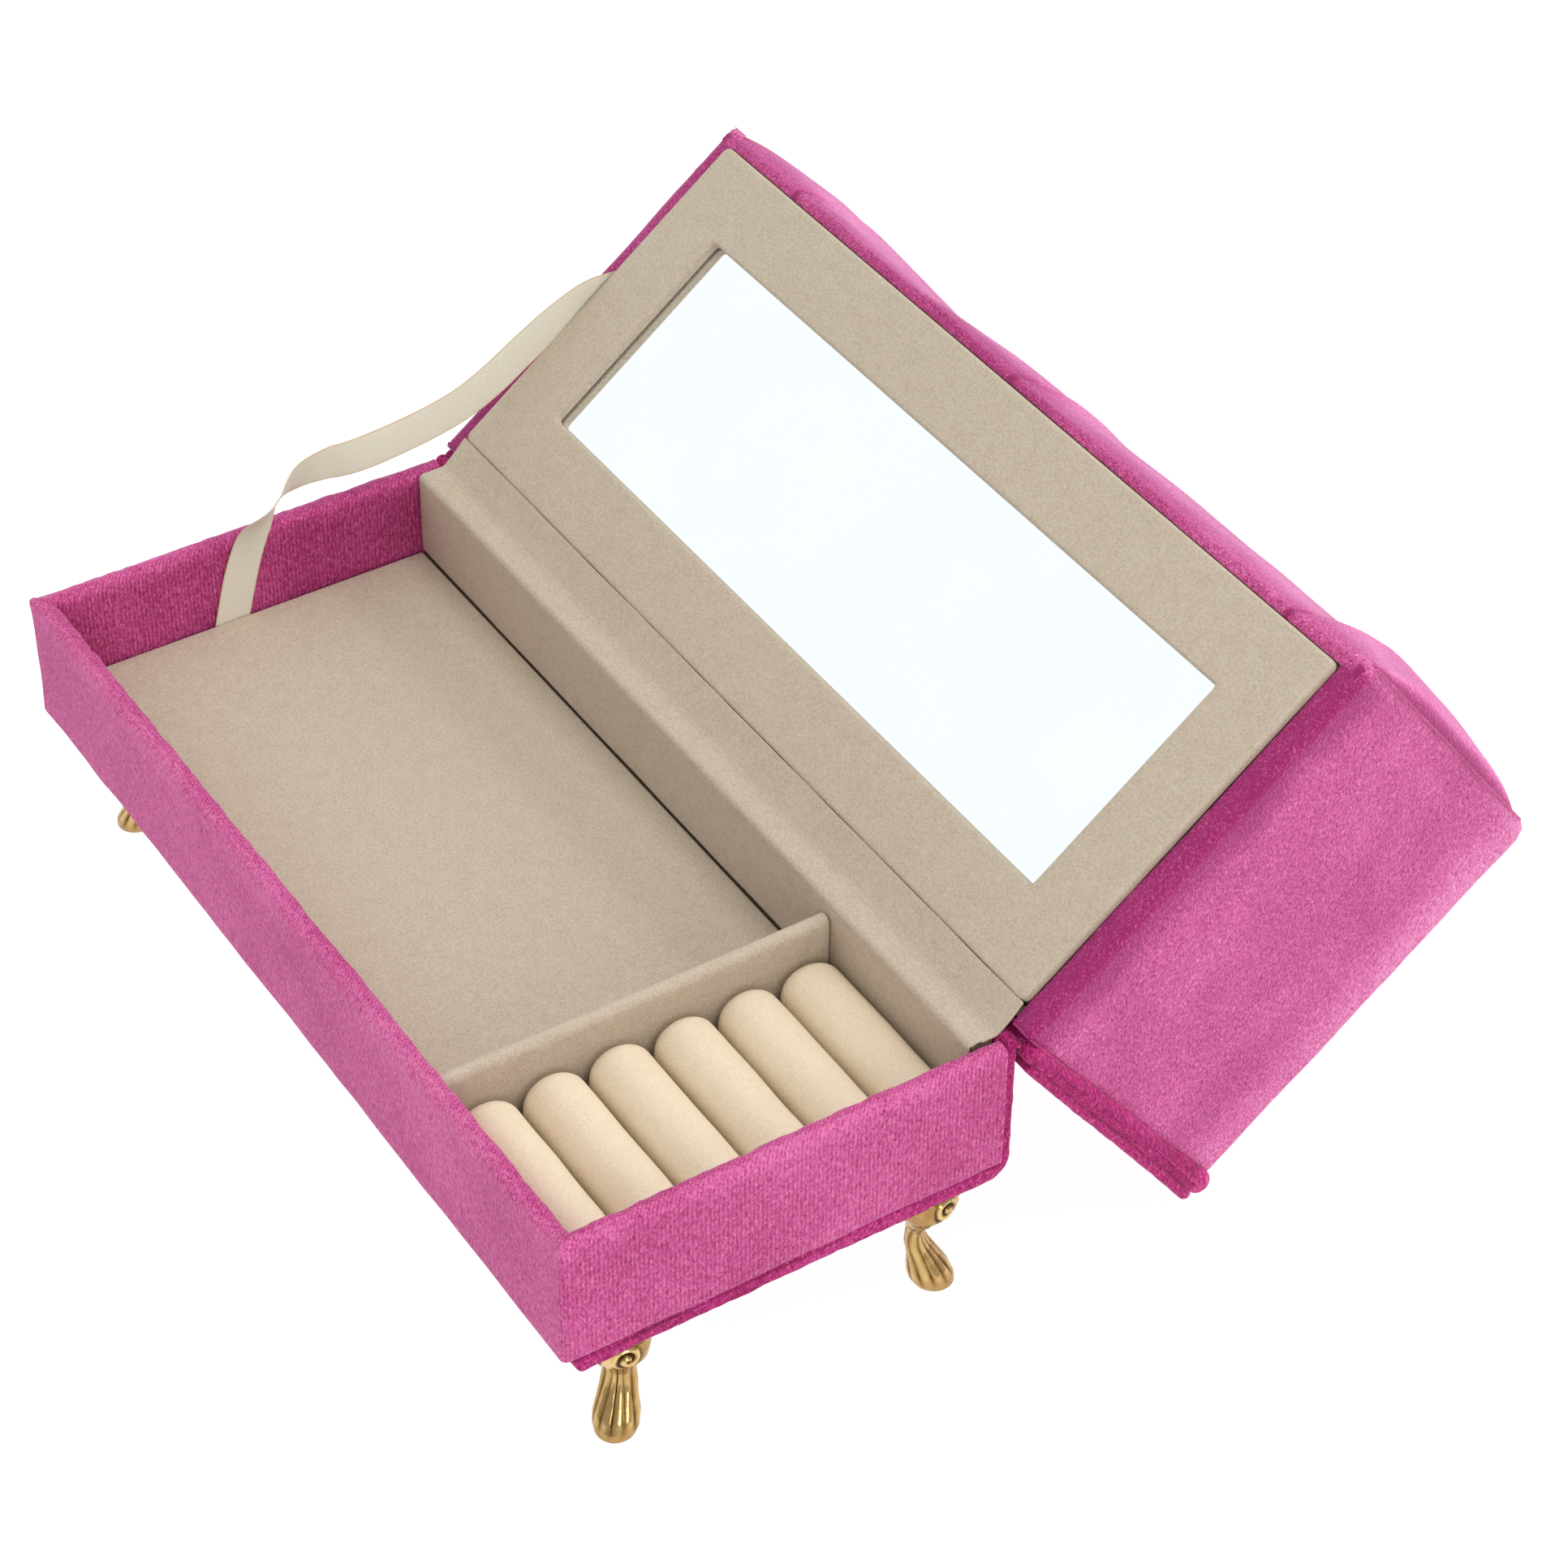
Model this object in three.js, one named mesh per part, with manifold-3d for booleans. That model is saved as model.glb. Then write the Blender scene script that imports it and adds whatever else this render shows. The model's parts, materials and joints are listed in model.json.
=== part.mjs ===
// Jewelry box with a deep padded lid, in millimetres, +Z up, standing on z = 0.
// X runs along the box, +Y points to the hinge. The lid is built shut and then swung open.
import * as THREE from "three";
import Module from "manifold-3d";

const wasm = await Module();
wasm.setup();

// ---- Overall sizes ----
const TRAY_LENGTH = 216;
const TRAY_DEPTH = 94;
const WALL_HEIGHT = 29.3;
const FOOT_HEIGHT = 28.6;
const LID_HEIGHT = 75.2;

// ---- Clearances ----
const GAP = 0.3;
const MOUTH_GAP = 0.5;

// ---- Stock thicknesses ----
const VELVET = 0.8;
const SUEDE = 0.6;
const WALL_BOARD = 2.2;
const BACK_BOARD = 4.4;
const FLOOR_BOARD = 2.4;
const LID_BOARD = 2.4;
const BASE_BOARD = 2.9;
const SPINE_BOARD = 1.2;
const PANEL_THICKNESS = 2.4;
const GLASS_THICKNESS = 2;
const BACKING_THICKNESS = 1.2;

// ---- Case cover and hinge ----
const BASE_FRONT_SETBACK = 3.1;
const BASE_END_SETBACK = 0.6;
const COVER_FOLD_RADIUS = 3;
const LOWER_SPINE_DROP = 2.8;
const HINGE_BEHIND_BACK = 1.2;
const HINGE_ABOVE_RIM = 0.1;
const SPINE_BEHIND_BACK = 2.5;

// ---- Tray fittings ----
const INNER_DEPTH = 19.8;
const SUEDE_BELOW_PAD = 0.8;
const PAD_THICKNESS = 2;
const PAD_END_GAP = 0.7;
const RING_SECTION = 47.1;
const DIVIDER_BOARD = 1.4;
const DIVIDER_BELOW_RIM = 3.2;
const RING_ROLLS = 6;
const RING_BASE_HEIGHT = 3.2;
const RIM_RADIUS = 1.6;

// ---- Lid fittings ----
const LID_END_OVERHANG = 0.9;
const LID_FRONT_SETBACK = 1.8;
const LID_BACK_SETBACK = 2.5;
const COVER_SLACK = 0.2;
const COVER_MITRE = 0.25;
const WINDOW_END_BORDER = 16.3;
const WINDOW_FRONT_BORDER = 17.3;
const WINDOW_BACK_BORDER = 16.4;
const GLASS_LAP = 3.7;
const BACKING_LAP = 4;
const PANEL_PROUD = 2;
const FRONT_CROWN = 6.2;
const TOP_CROWN = 4.6;
const LIP_THICKNESS = 0.6;
const CROWN_START = 0.8;
const FRONT_FOAM_INSET = 4;
const TOP_FOAM_BACK_INSET = 3;
const FRAME_END_INSET = 2.6;
const BACK_WALL_TO_SPINE = 0.6;

// ---- Upper spine ----
const ROLL_THICKNESS = 4.2;
const ROLL_START = 6.8;
const ROLL_OVER_TOP = 1.9;
const SPINE_OVERHANG = 0.7;
const UPPER_COVER_THICKNESS = 2.4;
const UPPER_COVER_SPLAY = 0.9;
const COVER_OVER_TOP = 0.2;
const COVER_HEM = 2;
const BOARD_EASE = 0.05;

// ---- Feet and screws ----
const FOOT_END_INSET = 9.2;
const FOOT_SIDE_INSET = 13.6;
const FOOT_TOE_OFFSET = 3;
const FOOT_KNEE_OFFSET = 0.9;
const TOE_SHARE = 0.318;
const KNEE_CENTRE = 0.742;
const KNEE_SPREAD = 0.159;
const SCREW_RADIUS = 1.5;
const SCREW_HEAD_RADIUS = 2.8;
const SCREW_HEAD_HEIGHT = 1.6;
const SCREW_BITE = 8;
const WASHER_RADIUS = 3.6;
const WASHER_THICKNESS = 0.6;

// ---- Ribbon stay ----
const RIBBON_WIDTH = 8;
const RIBBON_THICKNESS = 0.3;
const RIBBON_SLOT = { from: 32, to: 58, depth: 1.2 };

// ---- Heights and edges that follow from the sizes above ----
const halfLength = TRAY_LENGTH / 2;
const front = -TRAY_DEPTH / 2;
const back = TRAY_DEPTH / 2;
const wall = WALL_BOARD + 2 * (VELVET + GAP);
const coverThickness = VELVET + BASE_BOARD + 2 * GAP;
const baseTop = FOOT_HEIGHT + coverThickness - GAP;
const trayBottom = baseTop + GAP;
const rim = trayBottom + WALL_HEIGHT;
const innerX = halfLength - wall;
const innerFront = front + wall;
const backLining = back - GAP - BACK_BOARD - GAP - SUEDE;
const floorTop = rim - INNER_DEPTH;
const boardTop = trayBottom + FLOOR_BOARD;
const baseFront = front + BASE_FRONT_SETBACK;
const baseHalf = halfLength - BASE_END_SETBACK;
const spineOuter = back + SPINE_BEHIND_BACK;

const hinge = { y: back + HINGE_BEHIND_BACK, z: rim + HINGE_ABOVE_RIM };
const mouth = rim + MOUTH_GAP;
const lidBack = back - LID_BACK_SETBACK;
const lidFront = front + LID_FRONT_SETBACK;
const lidTop = mouth + LID_HEIGHT;
const lidHalf = halfLength + LID_END_OVERHANG;

// ---- Materials ----
function finish(color, roughness, metalness = 0) {
  return new THREE.MeshStandardMaterial({ color, roughness, metalness });
}

const materials = {
  velvet: finish(0xc24a90, 0.9),
  suede: finish(0xc8bba0, 0.95),
  roll: finish(0xdacdb4, 0.95),
  board: finish(0x9a8f7c, 0.85),
  foam: finish(0xe6e0cf, 0.95),
  gold: finish(0xb99a55, 0.35, 1),
  steel: finish(0xa8a8a8, 0.4, 1),
  mirror: finish(0xeef3f5, 0.03, 1),
  satin: finish(0xdedac6, 0.4),
};

// ---- Geometry helpers ----
function block(x0, x1, y0, y1, z0, z1) {
  const geometry = new THREE.BoxGeometry(x1 - x0, y1 - y0, z1 - z0);
  return geometry.translate((x0 + x1) / 2, (y0 + y1) / 2, (z0 + z1) / 2);
}

// A closed outline of [y, z] points, swept along X.
function sweepX(outline, x0, x1) {
  const shape = new THREE.Shape(outline.map(([y, z]) => new THREE.Vector2(y, z)));
  const geometry = new THREE.ExtrudeGeometry(shape, { depth: x1 - x0, bevelEnabled: false });
  const axes = new THREE.Matrix4().makeBasis(
    new THREE.Vector3(0, 1, 0), new THREE.Vector3(0, 0, 1), new THREE.Vector3(1, 0, 0));
  return geometry.applyMatrix4(axes).translate(x0, 0, 0);
}

// A closed outline of [x, z] points, swept along Y.
function sweepY(outline, y0, y1) {
  const shape = new THREE.Shape(outline.map(([x, z]) => new THREE.Vector2(x, z)));
  const geometry = new THREE.ExtrudeGeometry(shape, { depth: y1 - y0, bevelEnabled: false });
  return geometry.rotateX(Math.PI / 2).translate(0, y1, 0);
}

// Points on an arc from angle a0 to a1, in degrees, round [cx, cy].
function arc(cx, cy, radius, a0, a1, steps = 6) {
  const points = [];
  for (let i = 0; i <= steps; i++) {
    const a = THREE.MathUtils.degToRad(a0 + (a1 - a0) * i / steps);
    points.push([cx + radius * Math.cos(a), cy + radius * Math.sin(a)]);
  }
  return points;
}

// Points on a shallow crown from a to b that rises to the given height on its left side.
function crown(a, b, rise, steps = 10) {
  const [dx, dy] = [b[0] - a[0], b[1] - a[1]];
  const length = Math.hypot(dx, dy);
  const points = [];
  for (let i = 0; i <= steps; i++) {
    const t = i / steps;
    const lift = rise * (1 - Math.pow(Math.abs(2 * t - 1), 2.4));
    points.push([a[0] + dx * t - dy / length * lift, a[1] + dy * t + dx / length * lift]);
  }
  return points;
}

function toManifold(geometry) {
  const source = geometry.index ? geometry.toNonIndexed() : geometry;
  const position = source.getAttribute("position");
  const seen = new Map();
  const vertices = [];
  const triangles = [];
  for (let i = 0; i < position.count; i++) {
    const p = [position.getX(i), position.getY(i), position.getZ(i)];
    const key = p.map((value) => Math.round(value * 1e4)).join();
    if (!seen.has(key)) {
      seen.set(key, vertices.length / 3);
      vertices.push(...p);
    }
    triangles.push(seen.get(key));
  }
  const faces = [];
  for (let i = 0; i < triangles.length; i += 3) {
    const [a, b, c] = triangles.slice(i, i + 3);
    if (a !== b && b !== c && c !== a) faces.push(a, b, c);
  }
  return new wasm.Manifold(new wasm.Mesh({
    numProp: 3,
    vertProperties: new Float32Array(vertices),
    triVerts: new Uint32Array(faces),
  }));
}

function fromManifold(solid) {
  const mesh = solid.getMesh();
  const geometry = new THREE.BufferGeometry();
  geometry.setAttribute("position", new THREE.BufferAttribute(new Float32Array(mesh.vertProperties), 3));
  geometry.setIndex(new THREE.BufferAttribute(new Uint32Array(mesh.triVerts), 1));
  const flat = geometry.toNonIndexed();
  flat.computeVertexNormals();
  return flat;
}

function cut(body, ...tools) {
  return fromManifold(tools.reduce((solid, tool) => solid.subtract(toManifold(tool)), toManifold(body)));
}

// A turned solid about a vertical axis at x, y. The profile is [radius, z] points, bottom to top.
function turned(profile, x, y, segments = 24) {
  const points = profile.map(([r, z]) => new THREE.Vector2(r, z));
  return new THREE.LatheGeometry(points, segments).rotateX(Math.PI / 2).translate(x, y, 0);
}

function drill(x, y, radius, z0, z1) {
  return turned([[0, z0], [radius, z0], [radius, z1], [0, z1]], x, y, 24);
}

// ---- Assembly ----
const box = new THREE.Group();
const tray = new THREE.Group();
const lid = new THREE.Group();
box.add(tray, lid);

function add(parent, name, geometry, material) {
  const mesh = new THREE.Mesh(geometry, material);
  mesh.name = name;
  parent.add(mesh);
  return mesh;
}

// ---- Feet, screws and washers ----
const baseMiddle = (baseFront + spineOuter) / 2;
const footX = baseHalf - FOOT_END_INSET;
const footY = (spineOuter - baseFront) / 2 - FOOT_SIDE_INSET;
const corners = [
  { name: "front_left", sx: -1, sy: -1 },
  { name: "front_right", sx: 1, sy: -1 },
  { name: "rear_left", sx: -1, sy: 1 },
  { name: "rear_right", sx: 1, sy: 1 },
];
for (const corner of corners) {
  corner.x = corner.sx * footX;
  corner.y = baseMiddle + corner.sy * footY;
}

// A cabriole foot: a turned profile whose axis bends outwards to the toe.
// The profile is [radius, share of the foot's height].
function cabrioleFoot({ x, y, sx, sy }) {
  const top = FOOT_HEIGHT - GAP;
  const profile = [
    [0, 0], [3.4, 0], [4.3, 0.032], [4.6, 0.078], [4.4, 0.141], [3.6, 0.233], [3.05, 0.332], [3, 0.424],
    [3.3, 0.502], [4.5, 0.601], [5.8, 0.707], [6.4, 0.799], [6.3, 0.869], [5.6, 0.926], [5.6, 1], [0, 1],
  ];
  const foot = turned(profile.map(([r, share]) => [r, share * top]), 0, 0, 20);
  const position = foot.getAttribute("position");
  for (let i = 0; i < position.count; i++) {
    const share = position.getZ(i) / top;
    const toe = FOOT_TOE_OFFSET * Math.max(0, 1 - share / TOE_SHARE) ** 1.5;
    const knee = FOOT_KNEE_OFFSET * Math.exp(-(((share - KNEE_CENTRE) / KNEE_SPREAD) ** 2));
    const shift = (toe + knee) / Math.SQRT2;
    position.setX(i, position.getX(i) + sx * shift);
    position.setY(i, position.getY(i) + sy * shift);
  }
  const bore = drill(0, 0, SCREW_RADIUS + GAP, top - SCREW_BITE - GAP, top + 1);
  return cut(foot, bore).translate(x, y, 0);
}

function screw({ x, y }) {
  const seat = boardTop + GAP + WASHER_THICKNESS + GAP;
  const tip = FOOT_HEIGHT - GAP - SCREW_BITE;
  const profile = [
    [0, tip], [SCREW_RADIUS, tip], [SCREW_RADIUS, seat], [SCREW_HEAD_RADIUS, seat],
    [SCREW_HEAD_RADIUS, seat + SCREW_HEAD_HEIGHT * 0.5], [SCREW_HEAD_RADIUS * 0.7, seat + SCREW_HEAD_HEIGHT],
    [0, seat + SCREW_HEAD_HEIGHT],
  ];
  return turned(profile, x, y, 20);
}

function washer({ x, y }) {
  const z = boardTop + GAP;
  const ring = drill(x, y, WASHER_RADIUS, z, z + WASHER_THICKNESS);
  return cut(ring, drill(x, y, SCREW_RADIUS + GAP, z - 1, z + WASHER_THICKNESS + 1));
}

for (const corner of corners) {
  add(tray, `foot_${corner.name}`, cabrioleFoot(corner), materials.gold);
  add(tray, `foot_screw_${corner.name}`, screw(corner), materials.steel);
  add(tray, `foot_washer_${corner.name}`, washer(corner), materials.steel);
}

function screwHoles(z0, z1, radius = SCREW_RADIUS + GAP) {
  return corners.map(({ x, y }) => drill(x, y, radius, z0, z1));
}

// ---- Case cover: base board, lower spine board and the velvet round them ----
const lowerSpineTop = rim - LOWER_SPINE_DROP;

function caseCoverVelvet() {
  const [y0, y1, z0] = [baseFront, spineOuter, FOOT_HEIGHT];
  const r = COVER_FOLD_RADIUS;
  const outline = [
    [y0, baseTop], [y0, z0], ...arc(y1 - r, z0 + r, r, -90, 0),
    [y1, lowerSpineTop], [y1 - VELVET, lowerSpineTop],
    ...arc(y1 - r, z0 + r, r - VELVET, 0, -90),
    [y0 + VELVET, z0 + VELVET], [y0 + VELVET, baseTop],
  ];
  return cut(sweepX(outline, -baseHalf, baseHalf), ...screwHoles(z0 - 1, z0 + VELVET + 1));
}

const coreZ = FOOT_HEIGHT + VELVET + GAP;
const coreBack = spineOuter - VELVET - GAP - SPINE_BOARD - GAP;
add(tray, "case_cover_velvet", caseCoverVelvet(), materials.velvet);
add(tray, "case_base_board", cut(
  block(-baseHalf + GAP, baseHalf - GAP, baseFront + VELVET + GAP, coreBack, coreZ, coreZ + BASE_BOARD),
  ...screwHoles(coreZ - 1, coreZ + BASE_BOARD + 1)), materials.board);
add(tray, "lower_spine_board", block(-baseHalf + GAP, baseHalf - GAP,
  spineOuter - VELVET - GAP - SPINE_BOARD, spineOuter - VELVET - GAP,
  FOOT_HEIGHT + COVER_FOLD_RADIUS, lowerSpineTop - GAP), materials.board);

// ---- Tray walls ----
// Velvet folded over a wall board: outer skin, rounded rim, inner skin, open at the bottom.
// Offsets run from the outer face inwards.
function wallSleeve(thickness) {
  const r = RIM_RADIUS;
  const height = WALL_HEIGHT;
  return [
    [0, 0], [VELVET, 0], [VELVET, height - VELVET], [thickness - VELVET, height - VELVET],
    [thickness - VELVET, 0], [thickness, 0],
    ...arc(thickness - r, height - r, r, 0, 90, 4), ...arc(r, height - r, r, 90, 180, 4),
  ];
}

function frontWallVelvet() {
  const outline = wallSleeve(wall).map(([a, b]) => [front + a, trayBottom + b]);
  return sweepX(outline, -halfLength, halfLength);
}

function sideWallVelvet(side) {
  const outline = wallSleeve(wall).map(([a, b]) => [side * (halfLength - a), trayBottom + b]);
  return sweepY(side > 0 ? outline.reverse() : outline, innerFront + GAP, back);
}

const boardFoot = trayBottom + GAP;
const boardHead = rim - VELVET - GAP;
const skin = VELVET + GAP;
add(tray, "front_wall_velvet", frontWallVelvet(), materials.velvet);
add(tray, "front_wall_board", block(-halfLength + 2, halfLength - 2, front + skin, front + skin + WALL_BOARD,
  boardFoot, boardHead), materials.board);
for (const [name, side] of [["left", -1], ["right", 1]]) {
  const outer = side * (halfLength - skin);
  const inner = side * (halfLength - skin - WALL_BOARD);
  add(tray, `${name}_wall_velvet`, sideWallVelvet(side), materials.velvet);
  add(tray, `${name}_wall_board`, block(Math.min(outer, inner), Math.max(outer, inner),
    innerFront + 2 * GAP, back - GAP, boardFoot, boardHead), materials.board);
}

const liningHalf = innerX - GAP;
function backWallLining() {
  const [y0, y1] = [backLining, back - GAP];
  const outline = [
    [y0, floorTop + GAP], [y0 + SUEDE, floorTop + GAP], [y0 + SUEDE, rim - SUEDE], [y1, rim - SUEDE],
    [y1, rim], ...arc(y0 + 1.2, rim - 1.2, 1.2, 90, 180, 4),
  ];
  return sweepX(outline, -liningHalf, liningHalf);
}
add(tray, "back_wall_board", block(-liningHalf, liningHalf, backLining + SUEDE + GAP, back - GAP,
  boardFoot, rim - SUEDE - GAP), materials.board);
add(tray, "back_wall_lining", backWallLining(), materials.suede);

// ---- Tray floor ----
const floorBack = backLining + SUEDE;
const dividerHalf = DIVIDER_BOARD / 2 + GAP + SUEDE;
const dividerX = innerX - RING_SECTION;
const mainEnd = dividerX - dividerHalf - GAP;
const ringStart = dividerX + dividerHalf + GAP;
const riserZ = boardTop + GAP;
const riserTop = floorTop - PAD_THICKNESS - GAP;
const headClearance = WASHER_RADIUS + GAP;

function supportBlock(x0, x1, top) {
  return cut(block(x0, x1, innerFront + GAP, floorBack, riserZ, top),
    ...screwHoles(riserZ - 1, top + 1, headClearance));
}
add(tray, "tray_floor_board", cut(
  block(-liningHalf, liningHalf, innerFront + GAP, floorBack, trayBottom, boardTop),
  ...screwHoles(trayBottom - 1, boardTop + 1)), materials.board);
add(tray, "floor_riser_foam", supportBlock(-innerX + PAD_END_GAP, mainEnd, riserTop), materials.foam);
add(tray, "floor_pad", block(-innerX + PAD_END_GAP, mainEnd, innerFront + GAP, backLining - GAP,
  floorTop - PAD_THICKNESS, floorTop), materials.suede);
const ringBaseTop = riserZ + RING_BASE_HEIGHT;
add(tray, "ring_base_board", supportBlock(ringStart, liningHalf, ringBaseTop), materials.board);

// ---- Divider ----
const dividerTop = rim - DIVIDER_BELOW_RIM;
const dividerZ = Math.min(riserTop, ringBaseTop) - SUEDE_BELOW_PAD;
function dividerSuede() {
  const r = dividerHalf;
  const inside = DIVIDER_BOARD / 2 + GAP;
  const insideTop = dividerTop - SUEDE;
  const outline = [
    [-r, dividerZ], [-inside, dividerZ], [-inside, insideTop], [inside, insideTop],
    [inside, dividerZ], [r, dividerZ], ...arc(0, dividerTop - r, r, 0, 180, 8),
  ];
  return sweepY(outline.map(([x, z]) => [dividerX + x, z]).reverse(), innerFront + GAP, backLining - GAP);
}
add(tray, "divider_board", block(dividerX - DIVIDER_BOARD / 2, dividerX + DIVIDER_BOARD / 2,
  innerFront + 2 * GAP, backLining - 2 * GAP, riserZ, dividerTop - SUEDE - GAP), materials.board);
add(tray, "divider_suede", dividerSuede(), materials.suede);

// ---- Ring rolls ----
const ringSpan = backLining - innerFront;
const rollPitch = ringSpan / RING_ROLLS;
const rollRadius = rollPitch / 2 - GAP / 2;
const rollAxisZ = ringBaseTop + GAP + rollRadius;
function ringRoll(index) {
  const length = liningHalf - ringStart;
  const dome = rollRadius * 0.55;
  const profile = [[0, 0], [rollRadius, 0]];
  for (let i = 0; i <= 5; i++) {
    const a = Math.PI / 2 * i / 5;
    profile.push([i === 5 ? 0 : rollRadius * Math.cos(a), length - dome + dome * Math.sin(a)]);
  }
  const roll = turned(profile, 0, 0, 28).rotateY(-Math.PI / 2);
  return roll.translate(liningHalf, innerFront + rollPitch * (index + 0.5), rollAxisZ);
}
for (let i = 0; i < RING_ROLLS; i++) {
  add(tray, `ring_roll_${i + 1}`, ringRoll(i), materials.roll);
}

// ---- Lid, in its shut place ----
const frontBoardOuter = lidFront + VELVET + GAP + COVER_SLACK;
const backBoardOuter = lidBack - BACK_WALL_TO_SPINE;
const endBoardOuter = lidHalf - VELVET - GAP;
const paddedHalf = lidHalf - VELVET - GAP;
const wallsFrom = mouth + LIP_THICKNESS + GAP;
const topBoardTop = lidTop - VELVET - GAP;
const wallsTo = topBoardTop - LID_BOARD - GAP;

add(lid, "lid_front_board", block(-endBoardOuter, endBoardOuter, frontBoardOuter, frontBoardOuter + LID_BOARD,
  wallsFrom, wallsTo), materials.board);
add(lid, "lid_back_board", block(-endBoardOuter, endBoardOuter, backBoardOuter - LID_BOARD, backBoardOuter,
  wallsFrom, wallsTo), materials.board);
add(lid, "lid_top_board", block(-endBoardOuter, endBoardOuter, frontBoardOuter, backBoardOuter,
  topBoardTop - LID_BOARD, topBoardTop), materials.board);

// Velvet on an end wall, turned in along the mouth.
function lidEndVelvet(side) {
  const outline = [
    [lidHalf, mouth], [lidHalf, lidTop], [lidHalf - VELVET, lidTop],
    [lidHalf - VELVET, mouth + LIP_THICKNESS], [innerX, mouth + LIP_THICKNESS], [innerX, mouth],
  ].map(([x, z]) => [side * x, z]);
  const velvet = sweepY(side > 0 ? outline : outline.reverse(), lidFront, lidBack);
  const lipTop = mouth + LIP_THICKNESS + 0.1;
  const coverCorner = block(-paddedHalf - GAP, paddedHalf + GAP, lidFront - 1, innerFront + GAP,
    mouth - 1, lipTop);
  if (side > 0) return cut(velvet, coverCorner);
  const ribbonSlot = block(-innerX - RIBBON_SLOT.depth, -innerX + 1, lidBack - RIBBON_SLOT.to,
    lidBack - RIBBON_SLOT.from, mouth - 1, lipTop);
  return cut(velvet, coverCorner, ribbonSlot);
}
for (const [name, side] of [["left", -1], ["right", 1]]) {
  const outer = side * endBoardOuter;
  const inner = side * (endBoardOuter - LID_BOARD);
  add(lid, `lid_${name}_board`, block(Math.min(outer, inner), Math.max(outer, inner),
    frontBoardOuter + LID_BOARD + GAP, backBoardOuter - LID_BOARD - GAP, wallsFrom, wallsTo),
  materials.board);
  add(lid, `lid_${name}_velvet`, lidEndVelvet(side), materials.velvet);
}

// Crowned foam on the front and top, with one velvet cover over both.
const seam = [lidFront, lidTop];
const frontFoot = [lidFront, mouth + CROWN_START];
const topBackEdge = [lidBack, lidTop];
function padding(outerArc, inner) {
  return sweepX([...outerArc, ...inner].reverse(), -paddedHalf, paddedHalf);
}
const frontGround = frontBoardOuter - GAP;
const topGround = topBoardTop + GAP;
const topFoamBack = backBoardOuter - TOP_FOAM_BACK_INSET;
add(lid, "lid_front_foam", padding(
  crown([frontGround - COVER_SLACK, mouth + FRONT_FOAM_INSET],
    [frontGround - COVER_SLACK, lidTop - FRONT_FOAM_INSET], FRONT_CROWN - VELVET - 2 * COVER_SLACK),
  [[frontGround, lidTop - FRONT_FOAM_INSET], [frontGround, mouth + FRONT_FOAM_INSET]]), materials.foam);
add(lid, "lid_top_foam", padding(
  crown([lidFront + FRONT_FOAM_INSET, topGround + COVER_SLACK],
    [topFoamBack, topGround + COVER_SLACK], TOP_CROWN - VELVET - GAP),
  [[topFoamBack, topGround], [lidFront + FRONT_FOAM_INSET, topGround]]), materials.foam);

function lidCoverVelvet() {
  const t = VELVET;
  const outline = [
    [innerFront, mouth], [lidFront, mouth],
    ...crown(frontFoot, seam, FRONT_CROWN), ...crown(seam, topBackEdge, TOP_CROWN).slice(1),
    [lidBack, lidTop - t],
    ...crown([lidFront + t + COVER_MITRE, lidTop - t], [lidBack, lidTop - t], TOP_CROWN).reverse().slice(1),
    ...crown([lidFront + t, mouth + LIP_THICKNESS + CROWN_START],
      [lidFront + t, lidTop - t - COVER_MITRE], FRONT_CROWN).reverse(),
    [lidFront + t, mouth + LIP_THICKNESS], [innerFront, mouth + LIP_THICKNESS],
  ];
  return sweepX(outline.reverse(), -paddedHalf, paddedHalf);
}
add(lid, "lid_cover_velvet", lidCoverVelvet(), materials.velvet);

// ---- Mirror panel ----
const panelHalf = innerX - GAP;
const panelFront = innerFront + GAP;
const panelBack = backLining - GAP;
const panelZ = mouth - PANEL_PROUD;
const windowBack = panelBack - WINDOW_BACK_BORDER;
const windowFront = panelFront + WINDOW_FRONT_BORDER;
const windowHalf = panelHalf - WINDOW_END_BORDER;
function plate(halfX, y0, y1, z, thickness) {
  return block(-halfX, halfX, y0, y1, z, z + thickness);
}
add(lid, "mirror_panel", cut(plate(panelHalf, panelFront, panelBack, panelZ, PANEL_THICKNESS),
  plate(windowHalf, windowFront, windowBack, panelZ - 1, PANEL_THICKNESS + 2)), materials.suede);

const frameZ = panelZ + PANEL_THICKNESS + GAP;
const glassHalf = windowHalf + GLASS_LAP;
const frameTop = frameZ + GLASS_THICKNESS;
add(lid, "mirror_glass", plate(glassHalf, windowFront - GLASS_LAP, windowBack + GLASS_LAP, frameZ,
  GLASS_THICKNESS), materials.mirror);
add(lid, "lid_mouth_frame", cut(
  plate(endBoardOuter - LID_BOARD - FRAME_END_INSET, frontBoardOuter + LID_BOARD + GAP,
    backBoardOuter - LID_BOARD - GAP, frameZ + LIP_THICKNESS, GLASS_THICKNESS - LIP_THICKNESS),
  plate(glassHalf + GAP, windowFront - GLASS_LAP - GAP, windowBack + GLASS_LAP + GAP, frameZ - 1,
    GLASS_THICKNESS + 2)), materials.board);
add(lid, "mirror_backing", plate(glassHalf + BACKING_LAP, windowFront - GLASS_LAP - BACKING_LAP,
  windowBack + GLASS_LAP + BACKING_LAP, frameTop + GAP, BACKING_THICKNESS), materials.board);

// ---- Upper spine: padded roll and the case cover's upper board ----
const spineHalf = lidHalf + SPINE_OVERHANG;
const rollFrom = mouth + ROLL_START;
const rollEnd = lidTop + ROLL_OVER_TOP;
function spineRoll() {
  const r = ROLL_THICKNESS / 2;
  const middle = lidBack + GAP + r;
  return sweepX([...arc(middle, rollEnd - r, r, 0, 180), ...arc(middle, rollFrom + r, r, 180, 360)],
    -spineHalf, spineHalf);
}
add(lid, "spine_roll", spineRoll(), materials.velvet);

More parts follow.
